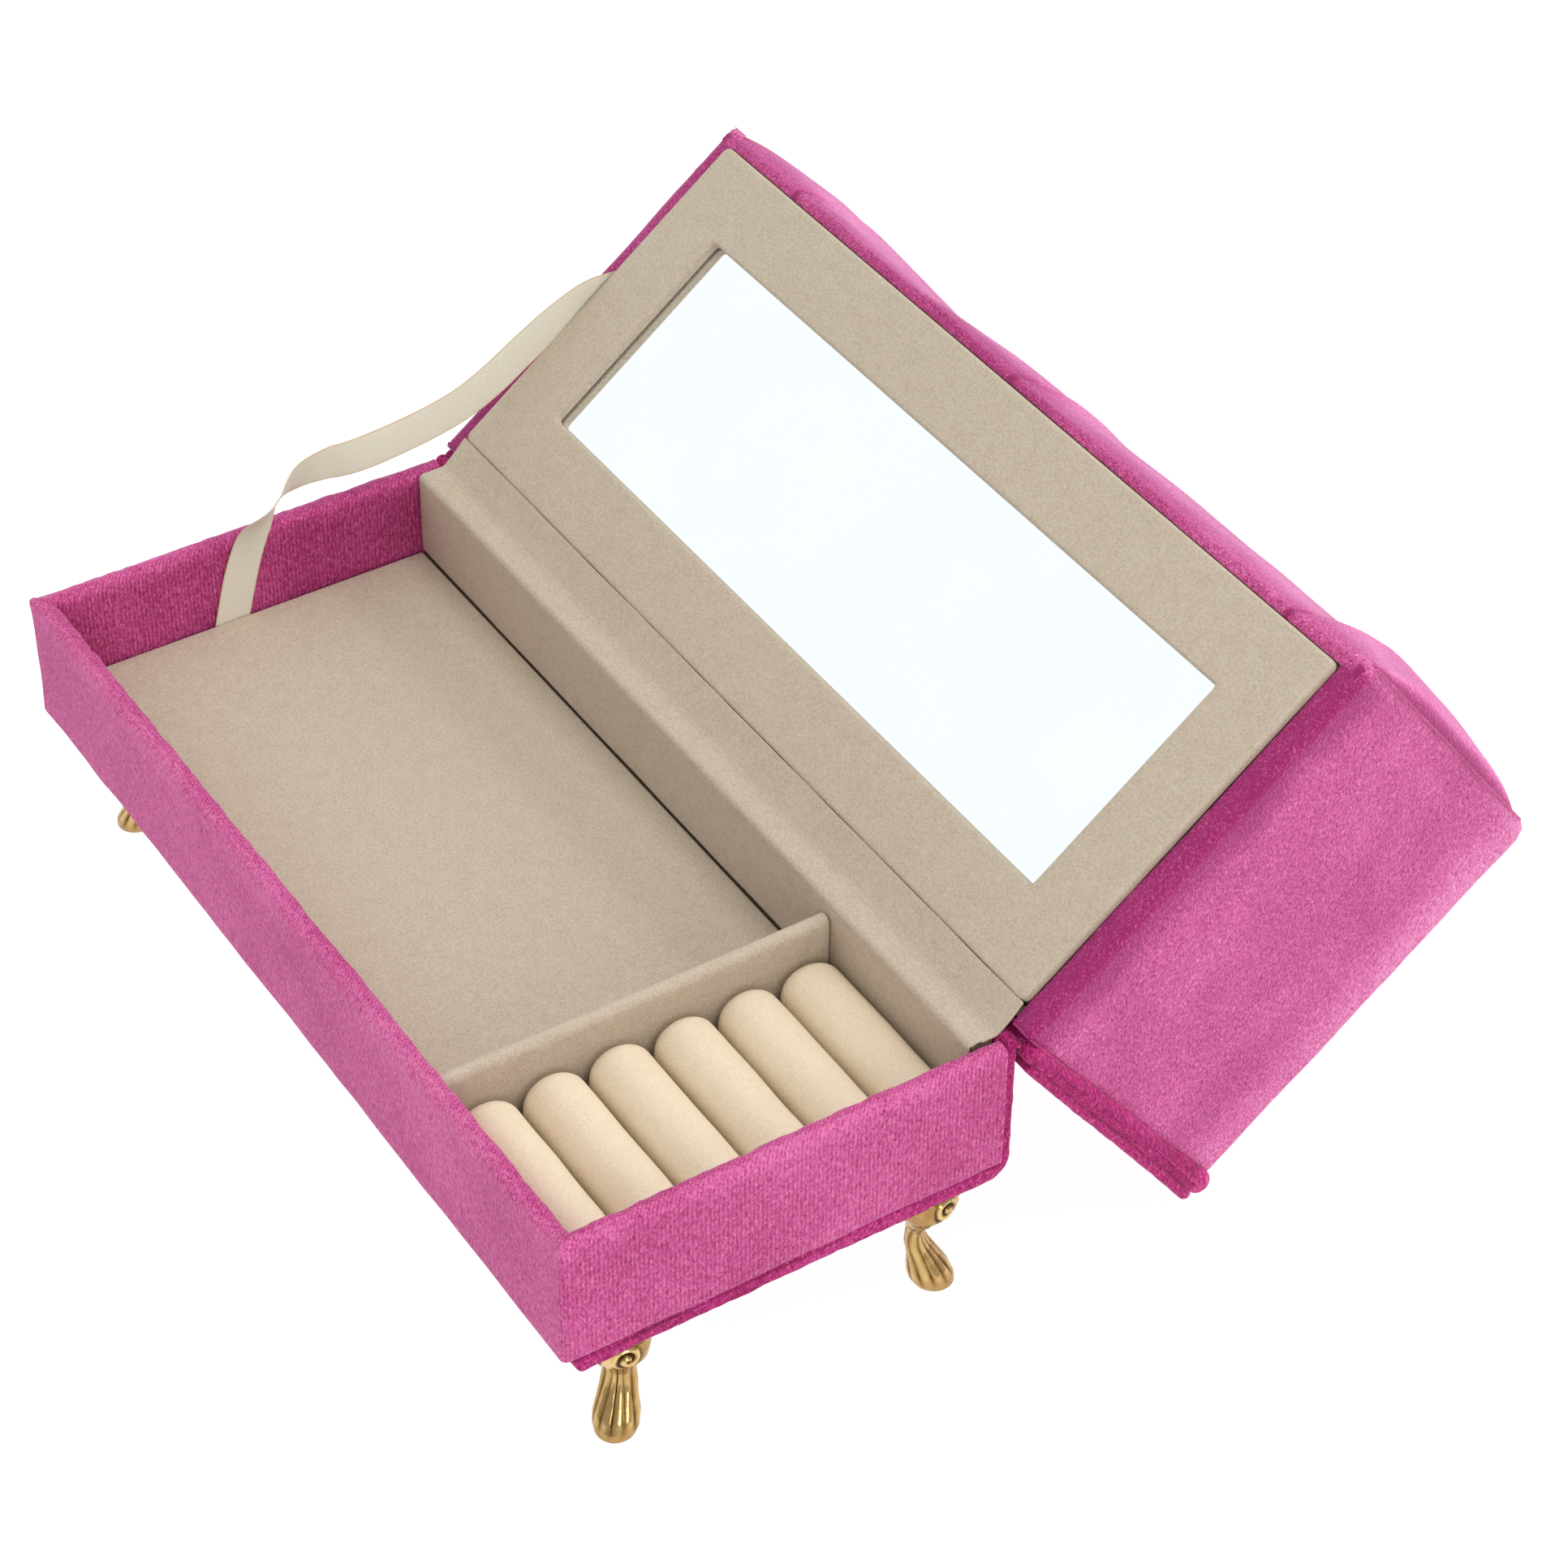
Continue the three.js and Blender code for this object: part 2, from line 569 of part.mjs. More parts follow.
const coverInner = lidBack + GAP + ROLL_THICKNESS + GAP;
const coverEnd = lidTop + COVER_OVER_TOP;
const coverTip = {
  y: coverInner + UPPER_COVER_SPLAY + UPPER_COVER_THICKNESS / 2,
  z: coverEnd - UPPER_COVER_THICKNESS / 2,
};
// The upper board leans out a little towards its free end, about its lower corner.
function leaned(outline) {
  const lean = UPPER_COVER_SPLAY / (coverEnd - rollFrom);
  return outline.map(([a, z]) => [coverInner + a + (z - rollFrom) * lean, z]);
}
function upperSpineVelvet() {
  const t = UPPER_COVER_THICKNESS;
  const r = t / 2;
  const pocket = [(t - SPINE_BOARD - GAP) / 2, (t + SPINE_BOARD + GAP) / 2];
  const pocketEnd = coverEnd - COVER_HEM;
  const outline = [
    [0, rollFrom], [pocket[0], rollFrom], [pocket[0], pocketEnd], [pocket[1], pocketEnd],
    [pocket[1], rollFrom], [t, rollFrom], ...arc(r, coverEnd - r, r, 0, 180),
  ];
  return sweepX(leaned(outline), -spineHalf, spineHalf);
}
function upperSpineBoard() {
  const a = (UPPER_COVER_THICKNESS - SPINE_BOARD) / 2 + BOARD_EASE;
  const b = a + SPINE_BOARD - 2 * BOARD_EASE;
  const end = coverEnd - COVER_HEM - GAP;
  return sweepX(leaned([[a, rollFrom + GAP], [b, rollFrom + GAP], [b, end], [a, end]]),
    -spineHalf + GAP, spineHalf - GAP);
}
add(lid, "upper_spine_velvet", upperSpineVelvet(), materials.velvet);
add(lid, "upper_spine_board", upperSpineBoard(), materials.board);

// ---- Open angle: the lid leans back until the end of its spine rests on z = 0 ----
const tip = { y: coverTip.y - hinge.y, z: coverTip.z - hinge.z };
const openAngle = Math.acos((UPPER_COVER_THICKNESS / 2 - hinge.z) / Math.hypot(tip.y, tip.z))
  - Math.atan2(tip.y, tip.z);
for (const mesh of lid.children) mesh.geometry.translate(0, -hinge.y, -hinge.z);
lid.position.set(0, hinge.y, hinge.z);
lid.rotation.x = -openAngle;

// Where a point of the shut lid lies when the lid is open.
function opened(y, z) {
  const [dy, dz] = [y - hinge.y, z - hinge.z];
  const [c, s] = [Math.cos(openAngle), Math.sin(openAngle)];
  return [hinge.y + dy * c + dz * s, hinge.z - dy * s + dz * c];
}

// ---- Cloth that crosses the hinge, and the ribbon stay ----
// A strip of the given thickness along a [y, z] route.
function strip(route, thickness) {
  const left = [];
  const right = [];
  route.forEach(([y, z], i) => {
    const a = route[Math.max(i - 1, 0)];
    const b = route[Math.min(i + 1, route.length - 1)];
    const [dy, dz] = [b[0] - a[0], b[1] - a[1]];
    const half = thickness / 2 / Math.hypot(dy, dz);
    left.push([y - dz * half, z + dy * half]);
    right.push([y + dz * half, z - dy * half]);
  });
  return [...right, ...left.reverse()];
}

const [panelEdgeY, panelEdgeZ] = opened(panelBack + GAP, panelZ + PANEL_THICKNESS * 0.35);
const liningRoute = [
  [back + 0.1, rim - SUEDE / 2], [back + 2, rim + 0.3], [back + 3.6, rim + 2.2],
  [panelEdgeY - 0.4, panelEdgeZ - 0.3],
];
add(box, "hinge_lining", sweepX(strip(liningRoute, SUEDE), -liningHalf + 1, liningHalf - 1), materials.suede);

const [upperY, upperZ] = opened(coverInner + UPPER_COVER_THICKNESS, rollFrom);
const pinch = [spineOuter - 0.2, rim - 1.2];
const velvetRoute = [
  [spineOuter - VELVET / 2, lowerSpineTop + GAP], pinch, [spineOuter + 0.9, rim - 1.5],
  [upperY + 1, (upperZ + rim) / 2], [upperY + 0.1, upperZ + 0.6],
];
add(box, "hinge_velvet", sweepX(strip(velvetRoute, VELVET), -baseHalf, baseHalf), materials.velvet);

// Route of the ribbon's middle line, from under the floor pad to the inside of the lid, as [y, z].
const ribbonPoints = [
  [-5.2, 38], [-3.9, 44], [-1.2, 54], [2.2, 63], [6.6, 70], [13.5, 73.6], [25.8, 73], [39.4, 74],
  [51, 76.2], [59.5, 79.8], [67.6, 84.6], [76, 89.2], [84.5, 92.4], [91, 92.2],
];
function ribbonStay() {
  const curve = new THREE.CatmullRomCurve3(ribbonPoints.map(([y, z]) => new THREE.Vector3(0, y, z)));
  const route = curve.getPoints(60).map((p) => [p.y, p.z]);
  const geometry = sweepX(strip(route, RIBBON_WIDTH), 0, RIBBON_THICKNESS);
  const position = geometry.getAttribute("position");
  const [first, last] = [ribbonPoints[0][0], ribbonPoints.at(-1)[0]];
  for (let i = 0; i < position.count; i++) {
    const along = THREE.MathUtils.clamp((position.getY(i) - first) / (last - first), 0, 1);
    position.setX(i, position.getX(i) - innerX + 0.2 - 0.75 * along);
  }
  return geometry;
}
add(box, "ribbon_stay", ribbonStay(), materials.satin);

// ---- Put the middle of the open box's footprint on the origin ----
box.updateMatrixWorld(true);
const bounds = new THREE.Box3().setFromObject(box, true);
box.position.y = -(bounds.min.y + bounds.max.y) / 2;

export default box;
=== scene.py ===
"""Looks of the velvet jewelry box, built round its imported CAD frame.

Shapes are worked out in millimetres in the row frame, and meshes are made in metres.
Lid pieces are shaped with the lid shut and then swung open about the hinge.
"""
import json
import math

import bmesh
import bpy
import numpy as np
from mathutils import Matrix, Vector, noise


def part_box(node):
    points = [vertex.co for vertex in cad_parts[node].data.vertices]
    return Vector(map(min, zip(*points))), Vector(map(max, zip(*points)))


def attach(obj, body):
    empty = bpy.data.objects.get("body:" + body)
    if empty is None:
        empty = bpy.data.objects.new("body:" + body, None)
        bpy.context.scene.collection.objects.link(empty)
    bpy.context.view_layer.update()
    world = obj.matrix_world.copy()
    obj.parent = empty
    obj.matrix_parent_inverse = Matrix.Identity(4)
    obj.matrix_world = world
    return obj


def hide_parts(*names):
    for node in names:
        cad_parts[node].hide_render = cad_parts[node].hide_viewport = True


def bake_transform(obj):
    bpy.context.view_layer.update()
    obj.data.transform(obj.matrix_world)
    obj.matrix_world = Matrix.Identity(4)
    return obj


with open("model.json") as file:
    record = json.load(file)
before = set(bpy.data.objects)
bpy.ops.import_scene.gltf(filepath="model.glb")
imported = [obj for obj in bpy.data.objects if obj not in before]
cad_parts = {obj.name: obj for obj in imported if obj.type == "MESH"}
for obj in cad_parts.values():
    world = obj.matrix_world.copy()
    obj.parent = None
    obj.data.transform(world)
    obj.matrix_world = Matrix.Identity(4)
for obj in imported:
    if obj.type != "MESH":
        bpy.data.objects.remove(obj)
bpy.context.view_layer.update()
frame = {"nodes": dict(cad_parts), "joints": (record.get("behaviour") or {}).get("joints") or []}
MM = 0.001
noise.seed_set(7)

# ---- Camera: a long lens above the front right corner ----
AZIMUTH, ELEVATION, TILT = (math.radians(a) for a in (56.91, 40.33, 0.74))
CAMERA_PLACE = (0.53754, -0.34284, 0.58291)
FOCAL_MM = 94.9
back_axis = Vector((math.sin(AZIMUTH) * math.cos(ELEVATION), -math.cos(AZIMUTH) * math.cos(ELEVATION),
                    math.sin(ELEVATION)))
right_axis = Vector((math.cos(AZIMUTH), math.sin(AZIMUTH), 0))
up_axis = back_axis.cross(right_axis)
rolled_right = right_axis * math.cos(TILT) + up_axis * math.sin(TILT)
rolled_up = up_axis * math.cos(TILT) - right_axis * math.sin(TILT)
camera = bpy.data.objects.new("camera", bpy.data.cameras.new("camera"))
bpy.context.scene.collection.objects.link(camera)
turn = Matrix((rolled_right, rolled_up, back_axis)).transposed()
camera.matrix_world = Matrix.Translation(CAMERA_PLACE) @ turn.to_4x4()
camera.data.sensor_width = 36
camera.data.lens = FOCAL_MM
camera.data.clip_start, camera.data.clip_end = 0.02, 20
bpy.context.scene.camera = camera
bpy.context.scene.view_settings.view_transform = "Standard"


# ---- Sizes from the frame, in millimetres ----
def box_mm(node):
    """A node's lowest and highest corners at rest."""
    low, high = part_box(node)
    return np.array(low) / MM, np.array(high) / MM


joint = frame["joints"][0]
hinge = np.array(joint["pos_m"]) / MM
open_angle = math.radians(joint["range_deg"][1])


def turned(points, angle):
    """Points turned about the hinge's axis, in millimetres."""
    p = np.asarray(points, float) - hinge
    c, s = math.cos(angle), math.sin(angle)
    y, z = p[..., 1] * c - p[..., 2] * s, p[..., 1] * s + p[..., 2] * c
    return np.stack([p[..., 0], y, z], -1) + hinge


def node_points(node):
    mesh = frame["nodes"][node].data
    co = np.zeros(len(mesh.vertices) * 3)
    mesh.vertices.foreach_get("co", co)
    return co.reshape(-1, 3) / MM


def shut_points(node):
    """A lid node's points with the lid shut."""
    return turned(node_points(node), open_angle)


def shut_mm(node):
    points = shut_points(node)
    return points.min(0), points.max(0)


wall_low, wall_high = box_mm("front_wall_velvet")
FRONT, HALF, TRAY_BOTTOM, RIM = wall_low[1], wall_high[0], wall_low[2], wall_high[2]
WALL = wall_high[1] - wall_low[1]
BACK = box_mm("left_wall_velvet")[1][1]
cover_low, cover_high = box_mm("case_cover_velvet")
lining_low, lining_high = box_mm("back_wall_lining")
end_low, end_high = shut_mm("lid_right_velvet")
LID_FRONT, MOUTH, LID_BACK, LID_TOP, LID_HALF = end_low[1], end_low[2], end_high[1], end_high[2], end_high[0]
PAD_HALF = shut_mm("lid_cover_velvet")[1][0]
panel_low, panel_high = shut_mm("mirror_panel")
roll_low, roll_high = shut_mm("spine_roll")
spine_low, spine_high = shut_mm("upper_spine_velvet")
panel_points = shut_points("mirror_panel")
inside_window = panel_points[np.abs(panel_points[:, 0]) < panel_high[0] - 1]
window_low, window_high = inside_window.min(0), inside_window.max(0)


# ---- Mesh helpers ----
def piece(name, points, faces, body, material, slot, stands_for=(), shut=False, ride=True):
    """A smooth-shaded mesh object from points in millimetres."""
    points = np.asarray(points, float)
    if shut:
        points = turned(points, -open_angle)
    mesh = bpy.data.meshes.new(name)
    mesh.from_pydata((points * MM).tolist(), [], faces)
    work = bmesh.new()
    work.from_mesh(mesh)
    bmesh.ops.recalc_face_normals(work, faces=work.faces)
    work.to_mesh(mesh)
    work.free()
    mesh.polygons.foreach_set("use_smooth", [True] * len(mesh.polygons))
    mesh.set_sharp_from_angle(angle=math.radians(55))
    obj = bpy.data.objects.new(name, mesh)
    bpy.context.scene.collection.objects.link(obj)
    mesh.materials.append(material)
    if ride:
        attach(obj, body)
    if stands_for:
        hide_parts(*stands_for)
    return obj


def loft(rings, closed=True, caps=True):
    """(points, faces) of a skin through rings of equal length."""
    rings = np.asarray(rings, float)
    count, size = rings.shape[:2]
    faces = []
    for i in range(count - 1):
        for j in range(size if closed else size - 1):
            k = (j + 1) % size
            faces.append((i * size + j, i * size + k, (i + 1) * size + k, (i + 1) * size + j))
    if caps:
        faces.append(tuple(range(size))[::-1])
        faces.append(tuple((count - 1) * size + j for j in range(size)))
    return rings.reshape(-1, 3), faces


def arc(cy, cz, radius, a0, a1, steps):
    """Points on an arc from a0 to a1 degrees."""
    angles = np.radians(np.linspace(a0, a1, steps + 1))
    return [(cy + radius * math.cos(a), cz + radius * math.sin(a)) for a in angles]


def spread(line, step):
    """A closed outline with points no further apart than step."""
    out = []
    for i, a in enumerate(line):
        b = line[(i + 1) % len(line)]
        n = max(1, math.ceil(math.dist(a, b) / step))
        out += [(a[0] + (b[0] - a[0]) * k / n, a[1] + (b[1] - a[1]) * k / n) for k in range(n)]
    return np.array(out)


def inset(outline, amount):
    """The outline moved inwards along its normals."""
    before, after = np.roll(outline, 1, 0), np.roll(outline, -1, 0)
    along = after - before
    along /= np.maximum(np.linalg.norm(along, axis=1), 1e-9)[:, None]
    area = np.sum(outline[:, 0] * after[:, 1] - after[:, 0] * outline[:, 1])
    side = 1 if area > 0 else -1
    return outline + side * amount * np.stack([-along[:, 1], along[:, 0]], 1)


def stations(x0, x1, step, radius, end_steps=5):
    """(x, inset) pairs along a sweep with rounded ends."""
    ends = [(radius * (1 - math.cos(a)), radius * (1 - math.sin(a)))
            for a in np.linspace(0, math.pi / 2, end_steps + 1)]
    middle = np.linspace(x0 + radius, x1 - radius, max(2, round((x1 - x0) / step)))
    return ([(x0 + d, i) for d, i in ends[:-1]] + [(x, 0) for x in middle]
            + [(x1 - d, i) for d, i in ends[:-1][::-1]])


def swept_x(outline, x0, x1, step, radius):
    """Rings of a y, z outline swept along X, with rounded ends."""
    return np.array([[(x, y, z) for y, z in inset(outline, i)] for x, i in stations(x0, x1, step, radius)])


def swept_y(outline, y0, y1, step, radius):
    """Rings of an x, z outline swept along Y, with rounded ends."""
    return np.array([[(x, y, z) for x, z in inset(outline, i)] for y, i in stations(y0, y1, step, radius)])


def wobble(points, size, amount, seed):
    """A smooth random offset for each point: size is the lumps' width in millimetres."""
    return np.array([list(noise.noise_vector(Vector(p) / size + Vector((seed, seed * 1.7, 0)))) for p in points]
                    ) * amount


def soften(points, amount, size, seed):
    """The points with a slow wobble of their own, in any shape of array."""
    points = np.asarray(points, float)
    flat = points.reshape(-1, 3)
    return (flat + wobble(flat, size, amount, seed)).reshape(points.shape)


def bump(x, centre, width):
    """1 at the centre, falling smoothly to 0."""
    return np.exp(-(((x - centre) / width) ** 2))


def ramp(x, a, b):
    """0 up to a, 1 from b, smooth between."""
    t = np.clip((x - a) / (b - a), 0, 1)
    return t * t * (3 - 2 * t)


# ---- Materials ----
def rgb(r, g, b):
    """An 8-bit sRGB colour as the linear RGBA that a socket takes."""
    shares = (c / 255 for c in (r, g, b))
    return tuple(c / 12.92 if c <= 0.04045 else ((c + 0.055) / 1.055) ** 2.4 for c in shares) + (1.0,)


class Nodes:
    """A short way to write a node material."""

    def __init__(self, name):
        self.material = bpy.data.materials.new(name)
        self.material.use_nodes = True
        self.tree = self.material.node_tree
        self.shader = self.tree.nodes["Principled BSDF"]
        self.place = self.tree.nodes.new("ShaderNodeTexCoord").outputs["Object"]

    def set(self, **values):
        for name, value in values.items():
            self.shader.inputs[name.replace("_", " ")].default_value = value
        return self

    def link(self, source, target):
        self.tree.links.new(source, target)

    def scaled(self, scale, turn=(0, 0, 0)):
        node = self.tree.nodes.new("ShaderNodeMapping")
        node.inputs["Scale"].default_value = scale
        node.inputs["Rotation"].default_value = turn
        self.link(self.place, node.inputs["Vector"])
        return node.outputs["Vector"]

    def noise(self, scale, detail=2.0, rough=0.5, vector=None, distortion=0.0):
        node = self.tree.nodes.new("ShaderNodeTexNoise")
        node.inputs["Scale"].default_value = scale
        node.inputs["Detail"].default_value = detail
        node.inputs["Roughness"].default_value = rough
        node.inputs["Distortion"].default_value = distortion
        self.link(vector or self.place, node.inputs["Vector"])
        return node.outputs["Fac"]

    def wave(self, scale, vector, distortion):
        node = self.tree.nodes.new("ShaderNodeTexWave")
        node.bands_direction = "DIAGONAL"
        node.inputs["Scale"].default_value = scale
        node.inputs["Distortion"].default_value = distortion
        node.inputs["Detail"].default_value = 1
        node.inputs["Detail Scale"].default_value = 1.5
        self.link(vector, node.inputs["Vector"])
        return node.outputs["Fac"]

    def cells(self, scale):
        node = self.tree.nodes.new("ShaderNodeTexVoronoi")
        node.inputs["Scale"].default_value = scale
        self.link(self.place, node.inputs["Vector"])
        return node.outputs["Distance"]

    def attribute(self, name):
        node = self.tree.nodes.new("ShaderNodeAttribute")
        node.attribute_name = name
        return node.outputs["Fac"]

    def stops(self, value, *stops):
        """A colour ramp: each stop is a place from 0 to 1 and its colour."""
        node = self.tree.nodes.new("ShaderNodeValToRGB")
        ramp_stops = node.color_ramp.elements
        while len(ramp_stops) < len(stops):
            ramp_stops.new(0.5)
        for element, (at, colour) in zip(ramp_stops, stops):
            element.position, element.color = at, colour
        self.link(value, node.inputs["Fac"])
        return node.outputs["Color"]

    def maths(self, kind, a, b):
        node = self.tree.nodes.new("ShaderNodeMath")
        node.operation = kind
        for value, socket in zip((a, b), node.inputs):
            if isinstance(value, (int, float)):
                socket.default_value = value
            else:
                self.link(value, socket)
        return node.outputs["Value"]

    def mix(self, factor, a, b):
        """Colour a turning into colour b as the factor goes from 0 to 1."""
        node = self.tree.nodes.new("ShaderNodeMix")
        node.data_type = "RGBA"
        factor_socket, a_socket, b_socket = node.inputs[0], node.inputs[6], node.inputs[7]
        for value, socket in zip((factor, a, b), (factor_socket, a_socket, b_socket)):
            if isinstance(value, (int, float, tuple)):
                socket.default_value = value
            else:
                self.link(value, socket)
        return node.outputs[2]

    def range(self, value, low, high):
        """A value from 0 to 1, stretched to low to high."""
        node = self.tree.nodes.new("ShaderNodeMapRange")
        node.inputs["To Min"].default_value = low
        node.inputs["To Max"].default_value = high
        self.link(value, node.inputs["Value"])
        return node.outputs["Result"]

    def relief(self, height, distance, strength, below=None):
        """Bump of a height in metres, on top of another bump where one is given."""
        node = self.tree.nodes.new("ShaderNodeBump")
        node.inputs["Distance"].default_value = distance
        node.inputs["Strength"].default_value = strength
        self.link(height, node.inputs["Height"])
        if below:
            self.link(below, node.inputs["Normal"])
        return node.outputs["Normal"]

    def finish(self, colour=None, roughness=None, normal=None):
        for value, name in ((colour, "Base Color"), (roughness, "Roughness"), (normal, "Normal")):
            if value is not None:
                self.link(value, self.shader.inputs[name])
        return self.material


def velvet(name, deep, mid, pale, ribbed, grain_scale, sheen):
    """Short pile: brushed patches, a fine curly grain and woven ribs that run up the walls.

    The attribute that the pieces store paints light and shade into the colour: below zero is painted shade, above
    zero a painted highlight.
    """
    n = Nodes(name).set(Sheen_Weight=sheen, Sheen_Roughness=0.38, Sheen_Tint=rgb(255, 178, 226),
                        Specular_IOR_Level=0.15)
    brushed = n.noise(26, 3, 0.5, n.scaled((1, 1.5, 1.2)), 0.4)
    grain = n.noise(grain_scale, 2.5, 0.6, n.scaled((1, 1, 0.55), (0.5, 0.4, 0.3)), 0.8)
    ribs = n.wave(690, n.scaled((1, 1, 0.004)), 0.12)
    pile = n.maths("ADD", n.maths("MULTIPLY", grain, 0.9), n.maths("MULTIPLY", ribs, 0.1 * ribbed))
    shade = n.maths("ADD", n.maths("MULTIPLY", brushed, 0.24), n.maths("MULTIPLY", pile, 0.76))
    # The stored attribute shifts the colour: painted shade below zero, a painted highlight above.
    shade = n.maths("ADD", shade, n.maths("MULTIPLY", n.attribute("painted_light"), 0.13))
    colour = n.stops(shade, (0.34, deep), (0.5, mid), (0.66, pale))
    coarse = n.relief(ribs, 0.00006, 0.6 * ribbed)
    normal = n.relief(grain, 0.0004, 0.8, coarse)
    return n.finish(colour, n.range(brushed, 0.72, 0.95), normal)


def suede(name, colour, shade, light):
    """Microfibre suede: a soft mottle under a very fine nap."""
    n = Nodes(name).set(Sheen_Weight=0.28, Sheen_Roughness=0.5, Sheen_Tint=rgb(250, 240, 222),
                        Specular_IOR_Level=0.15)
    mottle = n.noise(260, 3, 0.6)
    speck = n.noise(1900, 2, 0.6)
    cloud = n.noise(18, 2)
    mixed = n.maths("ADD", n.maths("MULTIPLY", mottle, 0.2), n.maths("MULTIPLY", speck, 0.8))
    base = n.stops(mixed, (0.3, shade), (0.5, colour), (0.72, light))
    tint = n.mix(n.range(cloud, 0.0, 0.14), base, shade)
    return n.finish(tint, n.range(mottle, 0.86, 0.98), n.relief(speck, 0.00014, 0.6))


def gold():
    """Antique gold plate: bright on the high parts, darker and rougher in the cast recesses."""
    n = Nodes("cast_gold").set(Metallic=1.0)
    recess = n.attribute("recess")
    tarnish = n.noise(420, 4, 0.65)
    depth = n.maths("ADD", recess, n.range(tarnish, -0.18, 0.22))
    colour = n.stops(depth, (0.1, rgb(226, 193, 132)), (0.5, rgb(166, 130, 76)), (0.85, rgb(58, 38, 16)))
    normal = n.relief(n.noise(1100, 2), 0.00006, 0.5)
    return n.finish(colour, n.range(depth, 0.12, 0.42), normal)


def satin():
    """Satin ribbon: fine threads along it, with a woven edge down each side."""
    n = Nodes("ribbon_satin").set(Anisotropic=0.6, Sheen_Weight=0.25, Specular_IOR_Level=0.6)
    across = n.attribute("across")
    threads = n.noise(2600, 2, 0.5)
    body = n.stops(threads, (0.3, rgb(220, 214, 196)), (0.7, rgb(231, 227, 212)))
    edge = n.stops(across, (0.9, (0, 0, 0, 1)), (0.97, (1, 1, 1, 1)))
    colour = n.mix(edge, body, rgb(214, 194, 156))
    return n.finish(colour, n.range(threads, 0.32, 0.42), n.relief(threads, 0.00004, 0.3))


def board():
    n = Nodes("fibreboard")
    fibre = n.noise(240, 5, 0.7, n.scaled((1, 2.2, 1)))
    flecks = n.cells(700)
    colour = n.stops(fibre, (0.3, rgb(120, 104, 82)), (0.6, rgb(158, 142, 116)), (0.8, rgb(178, 164, 138)))
    return n.finish(n.mix(n.range(flecks, 0.25, 0.0), colour, rgb(96, 82, 63)), n.range(fibre, 0.8, 0.95),
                    n.relief(fibre, 0.0002, 0.5))


def foam():
    n = Nodes("open_foam").set(Sheen_Weight=0.1)
    pores = n.cells(950)
    tone = n.noise(60, 3)
    colour = n.mix(n.range(tone, 0.0, 0.5), rgb(236, 230, 212), rgb(214, 204, 178))
    return n.finish(colour, n.range(tone, 0.9, 1.0), n.relief(pores, 0.0003, 0.8))


def steel():
    n = Nodes("screw_steel").set(Metallic=1.0)
    scratches = n.noise(300, 4, 0.7, n.scaled((1, 6, 1)))
    colour = n.stops(scratches, (0.3, rgb(150, 150, 154)), (0.7, rgb(196, 196, 198)))
    return n.finish(colour, n.range(scratches, 0.28, 0.5), n.relief(scratches, 0.00005, 0.4))


def mirror():
    n = Nodes("silvered_glass").set(Metallic=1.0)
    film = n.noise(24, 4, 0.6)
    colour = n.stops(film, (0.2, rgb(245, 248, 249)), (0.8, rgb(247, 250, 251)))
    return n.finish(colour, n.range(film, 0.015, 0.045))


VELVET = velvet("pink_velvet", rgb(144, 34, 88), rgb(194, 76, 135), rgb(224, 122, 172), 1.0, 1900, 0.6)
# Velvet of the padded lid. It has no ribs and a finer grain, and its colours are paler than the walls' velvet as
# painted light.
PLUSH = velvet("pink_velvet_padded", rgb(155, 37, 101), rgb(212, 92, 153), rgb(248, 162, 208), 0.0, 2500, 1.0)
# A darker copy of the padded velvet for the case cover, the lid's back, the spine and the hinge pinch: its darker
# colours are painted shade.
SHADED_PLUSH = velvet("pink_velvet_shaded", rgb(130, 14, 74), rgb(184, 44, 116), rgb(226, 104, 166), 0.0, 1700, 0.35)
SUEDE = suede("suede_lining", rgb(193, 179, 159), rgb(177, 162, 141), rgb(206, 193, 174))
ROLL_SUEDE = suede("suede_rolls", rgb(230, 213, 186), rgb(222, 204, 176), rgb(236, 222, 198))
GOLD, SATIN, BOARD, FOAM, STEEL, MIRROR = gold(), satin(), board(), foam(), steel(), mirror()


def paint_light_and_shade(obj, painted_light):
    """Stores painted light and shade at each vertex: below zero is painted shade, above zero a painted highlight.
    """
    obj.data.attributes.new("painted_light", "FLOAT", "POINT").data.foreach_set("value", np.asarray(painted_light, float).ravel())


# ---- Tray walls: one velvet skin folded over three boards ----
CORNER, RIM_R, SKIN = 1.5, 2.0, 0.8
SLIT = 0.08
RIM_STOP = RIM + 0.5 * (MOUTH - RIM)
MOUTH_STOP = RIM + 0.7 * (MOUTH - RIM)


def wall_profile():
    """(inward offset, height) round the sleeve, outer skin first."""
    t, h = WALL, RIM - TRAY_BOTTOM
    outer = [(0.7, 0), (0.2, 0.25), (0, 0.9), (0, h - RIM_R)] + arc(RIM_R, h - RIM_R, RIM_R, 180, 90, 5)[1:]
    outer += arc(t - RIM_R, h - RIM_R, RIM_R, 90, 0, 5) + [(t, 0)]
    inner = [(t - SKIN, 0), (t - SKIN, h - SKIN), (SKIN, h - SKIN), (SKIN + 0.2, 0)]
    return spread(outer + inner, 1.6)


def wall_stations():
    """Stops round the three walls: a side and a place on it, or a corner's side and angle."""
    step, from_corner = 1.5, 6
    stops = [("left", y) for y in np.arange(BACK, FRONT + from_corner, -step)]
    stops += [("corner", -1, a) for a in np.linspace(180, 270, 9)]
    stops += [("front", x) for x in np.linspace(-HALF + from_corner, HALF - from_corner, 140)]
    stops += [("corner", 1, a) for a in np.linspace(270, 360, 9)]
    stops += [("right", y) for y in np.arange(FRONT + from_corner, BACK, step)] + [("right", BACK)]
    return stops


def wall_point(stop, a):
    """The x, y of a point at a stop, a millimetres in from the outer skin."""
    if stop[0] == "left":
        return -HALF + a, stop[1]
    if stop[0] == "right":
        return HALF - a, stop[1]
    if stop[0] == "front":
        return stop[1], FRONT + a
    side, angle = stop[1], math.radians(stop[2])
    centre = max(CORNER, a + 0.35)
    radius = centre - a
    return side * (HALF - centre) + radius * math.cos(angle), FRONT + centre + radius * math.sin(angle)


